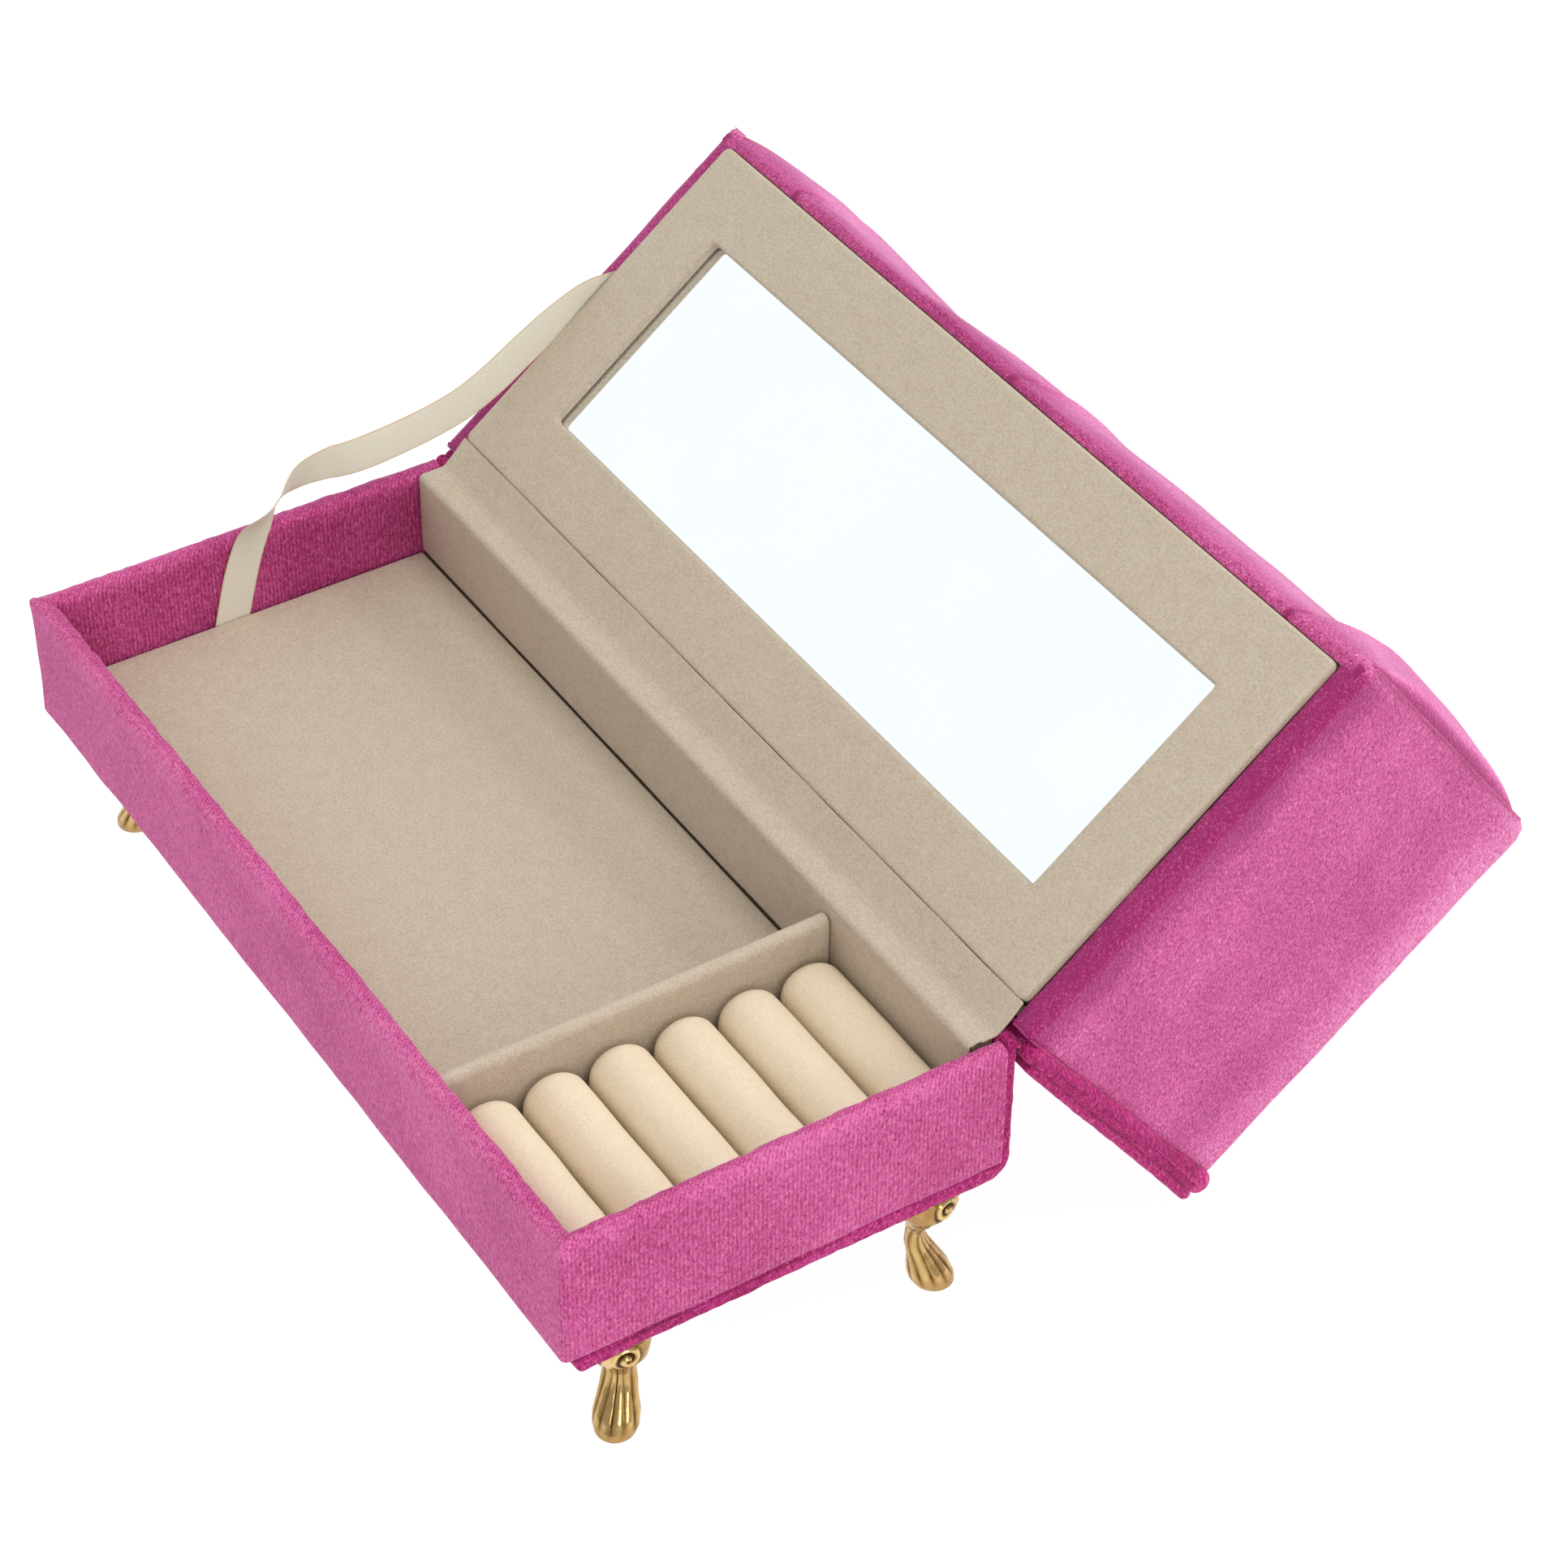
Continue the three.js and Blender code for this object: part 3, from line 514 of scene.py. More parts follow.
profile = wall_profile()
rings = []
for stop in wall_stations():
    ring = []
    for a, h in profile:
        knob = 0.0
        if stop[0] == "corner":
            knob = bump(h, RIM - TRAY_BOTTOM - 0.8, 2.4) * math.sin(math.radians(stop[2]) * 2) ** 2
        x, y = wall_point(stop, a - 0.55 * knob)
        ring.append((x, y, TRAY_BOTTOM + h + 0.45 * knob))
    rings.append(ring)
rings = np.array(rings)
# At the back ends the sleeve's inside draws together, so that the velvet covers the boards' ends.
inside = np.array([SKIN - 0.01 < a < WALL - SKIN + 0.01 and h < RIM - TRAY_BOTTOM - SKIN + 0.01
                   for a, h in profile])
for end, side in ((0, -1), (-1, 1)):
    middle = side * (HALF - WALL / 2)
    rings[end, inside, 0] = middle + SLIT * (rings[end, inside, 0] - middle)
at_rim = bump(rings[..., 2], RIM, 3.0)[..., None]
rim_lumps = wobble(rings.reshape(-1, 3), 2.4, 0.34, 2.0).reshape(rings.shape) * at_rim
rings = soften(rings, 0.2, 9, 1.0) + rim_lumps
rings[..., 2] = np.minimum(rings[..., 2], RIM_STOP)
rings[[0, -1], :, 1] = BACK + 0.02
tray_cover = piece("tray_wall_cover", *loft(rings), "tray", VELVET, "velvet",
                   ("front_wall_velvet", "left_wall_velvet", "right_wall_velvet"))
outside = np.minimum(HALF - np.abs(rings[..., 0]), rings[..., 1] - FRONT) < RIM_R
# Painted light: the inner faces are painted darker as shade, the outer faces a touch paler, and the band along the
# rim paler as a painted highlight.
paint_light_and_shade(tray_cover, np.where(outside, 0.05, -0.5) + 0.5 * at_rim[..., 0])


# ---- Case cover: base board wrapped in velvet, folded up behind the tray ----
BASE_TOP, COVER_TOP = TRAY_BOTTOM - 0.1, RIM - 0.8
COVER_FRONT, COVER_BACK, COVER_BOTTOM = cover_low[1], cover_high[1], cover_low[2]
SPINE_IN = BACK + 0.12
FOLD, TOP_R, EDGE_TOP_R, EDGE_LOW_R = 5.2, 1.1, 1.7, 1.2
outline = [(COVER_FRONT + 1.6, COVER_BOTTOM), (COVER_BACK - FOLD, COVER_BOTTOM)]
outline += arc(COVER_BACK - FOLD, COVER_BOTTOM + FOLD, FOLD, -90, 0, 6)[1:]
outline += arc(COVER_BACK - TOP_R, COVER_TOP - TOP_R, TOP_R, 0, 180, 6)
outline += [(SPINE_IN, BASE_TOP + 0.2), (SPINE_IN - 0.2, BASE_TOP), (COVER_FRONT + 1.3, BASE_TOP)]
outline += arc(COVER_FRONT + EDGE_TOP_R, BASE_TOP - EDGE_TOP_R, EDGE_TOP_R, 90, 180, 4)[1:]
outline += arc(COVER_FRONT + EDGE_LOW_R, COVER_BOTTOM + EDGE_LOW_R, EDGE_LOW_R, 180, 270, 4)
rings = soften(swept_x(spread(outline, 1.6), -cover_high[0], cover_high[0], 2.0, 0.9), 0.3, 9, 4.0)
rings = soften(rings, 0.24, 2.6, 5.0)
against_wall = (rings[..., 2] > BASE_TOP + 1) & (rings[..., 1] < SPINE_IN + 0.6)
rings[..., 1] = np.where(against_wall, np.minimum(rings[..., 1], BACK + 0.03), rings[..., 1])
case_cover = piece("case_cover_soft", *loft(rings), "tray", SHADED_PLUSH, "velvet", ("case_cover_velvet",))
# A slight even painted lightening over the case cover's darker velvet.
paint_light_and_shade(case_cover, np.full(rings.shape[:2], 0.1))

# ---- Back wall lining ----
LINING, LINING_R = 0.6, 1.3
y0, y1, z0, z1 = lining_low[1], BACK - 0.2, lining_low[2], RIM
outline = [(y0, z0), (y0 + LINING, z0), (y0 + LINING, z1 - LINING), (y1, z1 - LINING), (y1, z1 + 0.1)]
outline += arc(y0 + LINING_R, z1 + 0.1 - LINING_R, LINING_R, 90, 180, 5)
rings = soften(swept_x(spread(outline, 1.6), -lining_high[0], lining_high[0], 2.5, 0.3), 0.1, 16, 6.0)
piece("back_lining_suede", *loft(rings), "tray", SUEDE, "suede", ("back_wall_lining",))

# ---- Floor pad, divider ----
low, high = box_mm("floor_pad")
r = 0.7
outline = arc(low[0] + r, low[2] + r, r, 180, 270, 3) + arc(high[0] - r, low[2] + r, r, 270, 360, 3)
outline += arc(high[0] - r, high[2] - r, r, 0, 90, 3) + arc(low[0] + r, high[2] - r, r, 90, 180, 3)
rings = swept_y(spread(outline, 3), low[1], high[1], 3, 0.6)
crown = 0.15 * np.cos((rings[..., 0] - (low[0] + high[0]) / 2) / (high[0] - low[0]) * math.pi)
rings[..., 2] += np.where(rings[..., 2] > high[2] - 0.3, crown, 0)
piece("floor_pad_suede", *loft(rings), "tray", SUEDE, "suede", ("floor_pad",))

low, high = box_mm("divider_suede")
middle, r = (low[0] + high[0]) / 2, (high[0] - low[0]) / 2
outline = [(low[0], low[2]), (high[0], low[2])] + arc(middle, high[2] - r, r, 0, 180, 8)
rings = swept_y(spread(outline, 1.4), low[1], high[1], 1.5, 0.5)
bow = 0.22 * np.sin((rings[..., 1] - low[1]) / 84 * math.pi)
rings[..., 0] += bow * (rings[..., 2] - low[2]) / 20
piece("divider_cover", *loft(soften(rings, 0.12, 12, 8.0)), "tray", SUEDE, "suede", ("divider_suede",))


# ---- Ring rolls: suede pulled round foam, domed towards the divider ----
def ring_roll(index):
    low, high = box_mm(f"ring_roll_{index}")
    cy, cz, radius = (low[1] + high[1]) / 2, (low[2] + high[2]) / 2, (high[1] - low[1]) / 2
    dome = radius * 0.62
    rings = []
    tuck, power, sides = 0.8, 2.3, 36
    along = [low[0] + dome * (1 - math.cos(a)) for a in np.linspace(0.05, math.pi / 2, 12)]
    along += list(np.linspace(low[0] + dome, high[0] - tuck, 22)[1:]) + [high[0] - 0.35, high[0]]
    for x in along:
        t = min(1.0, (x - low[0]) / dome)
        share = max(0.0, 1 - (1 - t) ** power) ** (1 / power)
        if high[0] - x < tuck:
            share *= 1 - 0.1 * (1 - (high[0] - x) / tuck)
        ring = []
        for k in range(sides):
            a = 2 * math.pi * k / sides
            flat = 1 - 0.05 * abs(math.cos(a)) ** 8
            ring.append((x, cy + radius * share * flat * math.cos(a), cz + radius * share * math.sin(a)))
        rings.append(ring)
    rings = soften(rings, 0.2, 12, index * 3.1)
    points = rings.reshape(-1, 3)
    points[:, 1] = np.clip(points[:, 1], low[1] - 0.05, high[1] + 0.05)
    roll = piece(f"ring_roll_soft_{index}", *loft(rings), "tray", ROLL_SUEDE, "roll_suede",
                 (f"ring_roll_{index}",))


for index in range(1, 7):
    ring_roll(index)


# ---- Feet: cast cabriole legs with fluted toes, scrolls and a beaded band ----
FOOT_HEIGHTS = [0, 0.8, 2.1, 4.2, 6.6, 9.2, 12.4, 15, 17.6, 20.4, 22.8, 24.8, 26.2, 26.9, 27.4]
FOOT_WIDTHS = [3.0, 4.0, 4.45, 4.4, 4.0, 3.6, 3.3, 3.3, 4.4, 6.0, 6.4, 6.2, 5.3, 5.3, 5.6]
FOOT_DEPTHS = [3.2, 4.1, 4.4, 4.0, 3.0, 2.2, 1.7, 1.9, 3.4, 5.4, 6.2, 6.1, 5.3, 5.3, 5.6]
FOOT_LEVELS, FOOT_SIDES = 104, 104
FLUTES, BEADS, ROPE_BEADS = 5.5, 16, 18
SCROLL_Z, SCROLL_ANGLE, SCROLL_R, SCROLL_TURNS = 22.6, 0.62, 3.3, 3.3


def foot_relief(turn, z, radius):
    """How far the casting's ornament stands out at an angle from the toe and a height."""
    flutes = abs(math.sin(turn * FLUTES)) ** 0.5 - 0.7
    flutes *= (0.42 * bump(z, 3.4, 2.6) + 0.4 * bump(z, 9.5, 4.4) + 0.25 * bump(z, 15, 2)) * ramp(z, 1, 4.5)
    height = flutes
    for side in (-1, 1):
        du, dz = (turn - side * SCROLL_ANGLE) * radius, z - SCROLL_Z
        d, spin = math.hypot(du, dz), math.atan2(dz, du * side)
        if d < SCROLL_R:
            height += 0.36 * math.cos(d * SCROLL_TURNS - spin) * float(ramp(SCROLL_R, d, d + 0.7))
    leaf = abs(turn) * radius
    height += 0.36 * bump(leaf, 0, 0.7) * float(ramp(z, 17.5, 19)) * float(ramp(-z, -25, -22))
    height += 0.22 * math.cos(leaf * 3.6) * bump(z, 19, 1.2) * float(ramp(-leaf, -5, -3))
    height += 0.3 * max(0.0, math.cos(turn * BEADS)) * bump(z, 26.3, 0.5)
    height += 0.22 * max(0.0, math.cos(turn * ROPE_BEADS)) * bump(z, 17.4, 0.45) - 0.14 * bump(z, 16.6, 0.3)
    return height


def cast_foot(corner):
    top = box_mm(f"foot_{corner}")[1][2]
    cap = node_points(f"foot_{corner}")
    cap = cap[cap[:, 2] > top - 0.5]
    cx, cy = (cap[:, :2].min(0) + cap[:, :2].max(0)) / 2
    sx, sy = (1 if cx > 0 else -1), (-1 if "front" in corner else 1)
    out = math.atan2(sy, sx)
    heights = FOOT_HEIGHTS + [top]
    rings, recess = [], []
    for i in range(FOOT_LEVELS):
        z = top * i / (FOOT_LEVELS - 1)
        wide = np.interp(z, heights, FOOT_WIDTHS + FOOT_WIDTHS[-1:])
        deep = np.interp(z, heights, FOOT_DEPTHS + FOOT_DEPTHS[-1:])
        toe = 3.3 * max(0.0, 1 - z / 11) ** 1.4 + 0.9 * bump(z, 21, 4.5) - 1.0 * bump(z, 12.5, 4)
        ring = []
        for k in range(FOOT_SIDES):
            a = 2 * math.pi * k / FOOT_SIDES
            turn = (a - out + math.pi) % (2 * math.pi) - math.pi
            radius = 1 / math.hypot(math.cos(turn) / deep, math.sin(turn) / wide)
            height = foot_relief(turn, z, radius)
            r = radius + height * 0.9
            ring.append((cx + r * math.cos(a) + sx * toe / math.sqrt(2),
                         cy + r * math.sin(a) + sy * toe / math.sqrt(2), z))
            recess.append(float(np.clip(0.42 - height * 1.7, 0, 1)))
        rings.append(ring)
    foot = piece(f"foot_cast_{corner}", *loft(rings), "tray", GOLD, "foot_gold", (f"foot_{corner}",))
    foot.data.attributes.new("recess", "FLOAT", "POINT").data.foreach_set("value", recess)


for corner in ("front_left", "front_right", "rear_left", "rear_right"):
    cast_foot(corner)


# ---- Cloth simulation: padded covers swell between their seams ----
CLOTH_FRAMES = 20


def inflate(obj, free, pressure, cap):
    """Blows a cover up a little as cloth.

    free is how loose each vertex is, from 0 to 1, and cap the most that one may move, in millimetres.
    """
    count = len(obj.data.vertices)
    before = np.zeros(count * 3)
    obj.data.vertices.foreach_get("co", before)
    pins = obj.vertex_groups.new(name="pinned")
    for i, loose in enumerate(np.asarray(free, float).ravel()):
        pins.add([i], float(1 - loose), "REPLACE")
    cloth = obj.modifiers.new("cloth", "CLOTH")
    settings = cloth.settings
    settings.quality, settings.mass = 4, 0.3
    settings.use_pressure, settings.uniform_pressure_force = True, pressure
    settings.vertex_group_mass = "pinned"
    settings.effector_weights.gravity = 0
    settings.tension_stiffness = settings.compression_stiffness = 25
    settings.bending_stiffness = 1.0
    cloth.collision_settings.use_collision = False
    scene = bpy.context.scene
    scene.frame_start, scene.frame_end = 1, CLOTH_FRAMES
    cloth.point_cache.frame_start, cloth.point_cache.frame_end = 1, CLOTH_FRAMES
    for number in range(1, CLOTH_FRAMES + 1):
        scene.frame_set(number)
        bpy.context.evaluated_depsgraph_get()
    swollen = obj.evaluated_get(bpy.context.evaluated_depsgraph_get()).data
    after = np.zeros(count * 3)
    swollen.vertices.foreach_get("co", after)
    obj.modifiers.remove(cloth)
    obj.vertex_groups.remove(pins)
    scene.frame_set(1)
    move = (after - before).reshape(-1, 3)
    size = np.linalg.norm(move, axis=1)
    limit = cap * MM
    move *= (limit * np.tanh(size / limit) / np.maximum(size, 1e-9))[:, None]
    obj.data.vertices.foreach_set("co", (before.reshape(-1, 3) + move).ravel())
    obj.data.update()


# ---- Lid: padded front and top under one cover ----
# Each pleat is its x at the mouth and how far it leans for each millimetre up.
HEIGHT, DEPTH = LID_TOP - MOUTH, LID_BACK - LID_FRONT
PLEATS = ((-80.0, -0.12), (-1.0, 0.05), (87.0, 0.16))
PLEAT_FROM, PLEAT_TO = 14, 48
INNER_FRONT = FRONT + WALL
BOARD_FRONT = shut_mm("lid_front_board")[0][1] - 0.12
BOARD_TOP = shut_mm("lid_top_board")[1][2] + 0.12
FRONT_POINTS, TOP_POINTS = 44, 40


def crown(t):
    """The swell of a padded panel from edge to edge, as t goes from 0 to 1."""
    return np.maximum(0, 1 - np.abs(2 * t - 1) ** 2.6) ** 0.75


def front_puff(x, v):
    """How far the padded front stands out at x along it and v above the mouth."""
    rise = crown(v / HEIGHT)
    lumps = 1 - 0.62 * bump(x, -45, 21) - 0.2 * bump(x, 14, 10) + 0.14 * bump(x, -92, 12) + 0.5 * bump(x, 95, 9)
    puff = 4.6 * lumps * rise
    for at, slope in PLEATS:
        d = x - at - slope * v
        depth = 1 - ramp(v, PLEAT_FROM, PLEAT_TO)
        puff += depth * (-3.0 * np.exp(-np.abs(d) / 0.9) * (0.45 + rise) + 0.8 * bump(d, 3.2, 2.4) * rise)
    return puff


def top_puff(x, w):
    """How far the padded top stands up at w behind its front edge."""
    return 3.7 * crown(w / DEPTH) * (1 + 0.1 * bump(x, 30, 40) - 0.08 * bump(x, -60, 30))


def end_taper(x):
    """1 along the pad, drawn in to 0 at its end seams."""
    over = np.clip((abs(x) - (PAD_HALF - 4.2)) / 4.0, 0, 1)
    return math.sqrt(max(0.0, 1 - over ** 2.4))


def pad_stations():
    """The x of each ring: closer together at the pleats and the ends."""
    dense = [at + slope * 9 + d for at, slope in PLEATS for d in np.arange(-7, 9.1, 0.4)]
    regular = list(np.linspace(-PAD_HALF + 7, PAD_HALF - 7, 110))
    ends = [PAD_HALF - 7 * (1 - math.sin(a)) for a in np.linspace(0, math.pi / 2, 22)]
    dense = [x for x in dense if abs(x) < PAD_HALF - 7.2]
    xs = sorted(regular + dense + ends + [-x for x in ends])
    out = [xs[0]]
    for x in xs[1:]:
        if x - out[-1] > 0.12:
            out.append(x)
    return out


def pad_ring(x):
    """The cover's outline at x: up the front, over the top, and back along the boards inside."""
    taper = end_taper(x)
    corner = 1.8 + 1.4 * float(ramp(abs(x), PAD_HALF - 12, PAD_HALF - 1))
    ring = [(INNER_FRONT, MOUTH)]
    ring += [(y, MOUTH - 0.25 * taper) for y in np.linspace(INNER_FRONT, LID_FRONT + 1.2, 4)[1:]]
    ring += [(LID_FRONT + 1.2 + 1.2 * math.cos(a), MOUTH + 1.2 + 1.2 * math.sin(a) - 0.25 * taper)
             for a in np.radians([248, 225, 202])]
    for v in np.linspace(1.6, HEIGHT - corner - 0.2, FRONT_POINTS):
        ring.append((LID_FRONT - front_puff(x, v) * taper, MOUTH + v))
    ring += [(LID_FRONT + corner + corner * math.cos(a), LID_TOP - corner + corner * math.sin(a))
             for a in np.radians([157, 135, 112])]
    for w in np.linspace(corner + 0.6, DEPTH - 1.2, TOP_POINTS):
        ring.append((LID_FRONT + w, LID_TOP + top_puff(x, w) * taper))
    ring += [(LID_BACK - 0.3, LID_TOP - 0.2), (LID_BACK - 0.1, LID_TOP - 0.7)]
    ring += [(y, BOARD_TOP) for y in np.linspace(LID_BACK - 0.6, BOARD_FRONT, 30)]
    ring += [(BOARD_FRONT, z) for z in np.linspace(BOARD_TOP - 2, MOUTH + 1.2, 26)]
    ring += [(BOARD_FRONT, MOUTH + 0.7), (INNER_FRONT, MOUTH + 0.6)]
    return [(x, y, z) for y, z in ring]


# In each ring: the outer skin, and within it the free panels of the front and the top.
SKIN_PART, FRONT_PART, TOP_PART = slice(1, 92), slice(6, 48), slice(54, 92)
rings = np.array([pad_ring(x) for x in pad_stations()])
flat = rings[:, SKIN_PART].reshape(-1, 3)
soft = wobble(flat, 17, 0.5, 12.0) + wobble(flat, 6, 0.14, 15.0)
edge = np.array([end_taper(x) for x in flat[:, 0]])[:, None]
rings[:, SKIN_PART] = (flat + soft * edge * [0, 1, 1]).reshape(rings[:, SKIN_PART].shape)
rings[..., 2] = np.maximum(rings[..., 2], MOUTH_STOP)
lid_pad = piece("lid_pad_cover", *loft(rings), "lid", PLUSH, "velvet",
                ("lid_cover_velvet", "lid_front_foam", "lid_top_foam"), shut=True)
above = rings[..., 2] - MOUTH
pleat_lines = [bump(rings[..., 0] - at - slope * above, 0, 0.8) for at, slope in PLEATS]
loose = np.zeros(rings.shape[:2])
loose[:, FRONT_PART] = loose[:, TOP_PART] = 1
for line in pleat_lines:
    loose[:, FRONT_PART] *= (1 - line * (1 - ramp(above, 20, 40)))[:, FRONT_PART]
inflate(lid_pad, loose * (np.abs(rings[..., 0]) < PAD_HALF - 0.6), pressure=4.0, cap=0.9)
# Painted shade along the mouth, in the pleats' creases and at the end seams; the cover above the mouth is painted
# paler as a highlight.
pleat_shade = sum(pleat_lines) * (1 - ramp(above, PLEAT_FROM, PLEAT_TO))
seam_shade = ramp(np.abs(rings[..., 0]), PAD_HALF - 2.2, PAD_HALF - 0.4)
paint_light_and_shade(lid_pad, -0.2 + 1.1 * ramp(above, 1, 12) - 1.6 * pleat_shade - 1.8 * seam_shade)


# ---- Lid ends: velvet over the end boards, turned in along the mouth ----
MOUTH_R, TOP_EDGE_R, END_CORNER_R = 2.2, 1.0, 5.0


def lid_end(side, node, name):
    """Velvet over one end of the lid, from the lip inside the mouth to the top edge."""
    lip = shut_mm(node)[0 if side > 0 else 1][0] * side
    inner, start = LID_HALF - 0.85, LID_FRONT - 1.3
    outline = [(lip, MOUTH), (LID_HALF - MOUTH_R, MOUTH)]
    outline += arc(LID_HALF - MOUTH_R, MOUTH + MOUTH_R, MOUTH_R, -90, 0, 6)[1:]
    outline += [(LID_HALF, MOUTH + HEIGHT / 2), (LID_HALF, LID_TOP - 1.0)]
    outline += arc(LID_HALF - TOP_EDGE_R, LID_TOP - 0.7, TOP_EDGE_R, 0, 90, 4)[1:] + [(inner, LID_TOP + 0.2)]
    outline += [(inner, MOUTH + 2.0), (inner - 1, MOUTH + 0.7), (lip, MOUTH + 0.6)]
    rings = swept_y(spread(outline, 1.8), start, LID_BACK + 0.8, 2.2, 1.3)
    y, z = rings[..., 1], rings[..., 2]
    pillow = np.sin(np.clip((y - LID_FRONT) / DEPTH, 0, 1) * math.pi) ** 0.6
    pillow *= np.sin(np.clip((z - MOUTH) / HEIGHT, 0, 1) * math.pi) ** 0.6
    rings[..., 0] += np.where(rings[..., 0] > inner + 0.4, 0.35 * pillow, 0)
    rings = soften(soften(rings, 0.22, 15, 20.0 + side), 0.1, 2.5, 22.0)
    from_front = np.clip((rings[..., 1] - start) / END_CORNER_R, 0, 1)
    cut = END_CORNER_R * (1 - np.sqrt(1 - (1 - from_front) ** 2))
    rings[..., 2] = np.minimum(rings[..., 2], LID_TOP + 0.2 - cut)
    rings[..., 2] = np.maximum(rings[..., 2], MOUTH_STOP + 0.27 * cut)
    rings[..., 0] *= side
    end = piece(name, *loft(rings), "lid", PLUSH, "velvet", (node,), shut=True)
    # Painted light on the end: a painted shade band along the mouth, its edge drifting with a slow wobble, and
    # painted highlights towards the top edge and along the front ridge.
    drift = wobble(rings.reshape(-1, 3), 14, 1.5, 24.0)[:, 0].reshape(rings.shape[:2])
    height = rings[..., 2] - MOUTH + drift
    ridge = bump(rings[..., 1], LID_FRONT - 1.0, 1.8)
    paint_light_and_shade(end, -0.85 * (1 - ramp(height, 3, 11)) * (1 - ridge) + 0.8 * ramp(height, 58, 74) + 0.5 * ridge)


lid_end(1, "lid_right_velvet", "lid_end_right")
lid_end(-1, "lid_left_velvet", "lid_end_left")

# The velvet also runs down the lid's back below the spine roll, where a shut lid shows it.
outline = [(LID_BACK - 0.1, MOUTH + 0.5), (LID_BACK + 0.6, MOUTH + 0.7), (LID_BACK + 0.7, MOUTH + 3),
           (LID_BACK + 0.6, roll_low[2] - 1), (LID_BACK - 0.1, roll_low[2] - 0.8)]
rings = soften(swept_x(spread(outline, 1.2), -LID_HALF + 0.3, LID_HALF - 0.3, 2.5, 0.3), 0.08, 5, 27.0)
back_root = piece("lid_back_velvet", *loft(rings), "lid", SHADED_PLUSH, "velvet", shut=True)
paint_light_and_shade(back_root, np.zeros(rings.shape[:2]))


# ---- Mirror frame: a suede-wrapped panel with a window ----
PANEL_EDGE_R = 0.75


def rounded_box_outline(x0, x1, y0, y1, r, steps):
    corners = ((x1 - r, y1 - r, 0), (x0 + r, y1 - r, 90), (x0 + r, y0 + r, 180), (x1 - r, y0 + r, 270))
    return [(cx + r * math.cos(math.radians(a + t)), cy + r * math.sin(math.radians(a + t)))
            for cx, cy, a in corners for t in np.linspace(0, 90, steps + 1)]


def mirror_frame():
    """The panel's face round its window: loops of the outer edge, then of the window's."""
    px, py0, py1 = panel_high[0], panel_low[1], panel_high[1]
    wx, wy0, wy1 = window_high[0], window_low[1], window_high[1]
    z0, z1 = panel_low[2], panel_high[2]

    def outer(i):
        return rounded_box_outline(-px + i, px - i, py0 + i, py1 - i, max(0.4, 1.5 - i * 0.5), 6)

    def inner(i):
        return rounded_box_outline(-wx - i, wx + i, wy0 - i, wy1 + i, 0.9 + i, 6)

    arcs = [(PANEL_EDGE_R * (1 - math.sin(a)), PANEL_EDGE_R * (1 - math.cos(a)))
            for a in np.linspace(0, math.pi / 2, 5)]
    levels = [(outer, i, z0 + d) for d, i in arcs[::-1]][::-1]
    loops = [(outer, 0.4, z1), (outer, 0, z1 - 0.4)] + levels
    loops += [(outer, i, z0) for i in (1.6, 3.0)]
    loops += [(inner, i, z0) for i in (3.0, 1.6)]
    loops += [(inner, i, z0 + d) for d, i in arcs[::-1]] + [(inner, 0, z1 - 0.2), (inner, 0.3, z1)]
    rings = [[(x, y, z) for x, y in shape(i)] for shape, i, z in loops]
    points, faces = loft(rings, caps=False)
    size, last = len(rings[0]), len(rings) - 1
    faces += [(last * size + j, last * size + (j + 1) % size, (j + 1) % size, j) for j in range(size)]
    piece("mirror_frame_suede", points, faces, "lid", SUEDE, "suede", ("mirror_panel",), shut=True)


mirror_frame()


# ---- Spine: padded roll on the lid's back, and the cover's outer board ----
def strip_outline(route, widths, cap=7):
    """A closed outline round a y, z route, with round ends."""
    route = np.array(route, float)
    along = np.gradient(route, axis=0)
    along /= np.linalg.norm(along, axis=1)[:, None]
    normal = np.stack([-along[:, 1], along[:, 0]], 1)
    half = np.array(widths)[:, None] / 2
    left, right = route + normal * half, route - normal * half
    out = list(right)
    for i, sign in ((-1, 1), (0, -1)):
        centre, r = route[i], float(half[i][0])
        start = math.atan2(-normal[i][1] * sign, -normal[i][0] * sign)
        out += [tuple(centre + r * np.array([math.cos(start + a), math.sin(start + a)]))
                for a in np.linspace(0, math.pi, cap + 2)[1:-1]]
        if i == -1:
            out += list(left[::-1])
    return np.array(out)


SPINE_SHARES = [0, 0.3, 0.6, 1]


def leaning_strip(offsets, z_from, z_to, widths):
    """The outline of a strip that stands on the lid's back, with an offset and a width at each share of it."""
    zs = np.linspace(z_from, z_to, 26)
    t = (zs - zs[0]) / (zs[-1] - zs[0])
    y = LID_BACK + np.interp(t, SPINE_SHARES, offsets)
    return strip_outline(np.stack([y, zs], 1), np.interp(t, SPINE_SHARES, widths))


def touching_table(y, radius):
    """The shut height at which a round tip rests on the table once the lid is open."""
    return hinge[2] + (radius - hinge[2] + (y - hinge[1]) * math.sin(open_angle)) / math.cos(open_angle)


ROLL_WIDTHS = np.array([4.3, 4.8, 5.0, 5.5])
COVER_WIDTHS = np.array([2.0, 2.1, 2.2, 2.5])
roll_middle, cover_middle = 0.15 + ROLL_WIDTHS / 2, ROLL_WIDTHS + COVER_WIDTHS / 2 - 0.3
roll_tip = touching_table(LID_BACK + roll_middle[-1], ROLL_WIDTHS[-1] / 2)
roll_outline = leaning_strip(roll_middle, roll_low[2] - 2.5, roll_tip, ROLL_WIDTHS)
rings = swept_x(spread(roll_outline, 1.2), -roll_high[0] - 0.3, roll_high[0] + 0.3, 2.0, 2.0)
rings = soften(soften(rings, 0.3, 16, 31.0), 0.22, 2.6, 33.0)
points = rings.reshape(-1, 3)
points[:, 1] = np.maximum(points[:, 1], LID_BACK + 0.08)
spine_roll = piece("spine_roll_soft", *loft(rings), "lid", SHADED_PLUSH, "velvet", ("spine_roll",), shut=True)
# Painted highlight: the roll is painted paler towards its tip.
paint_light_and_shade(spine_roll, -0.1 + 1.0 * ramp(rings[..., 2], roll_tip - 6, roll_tip + 1))

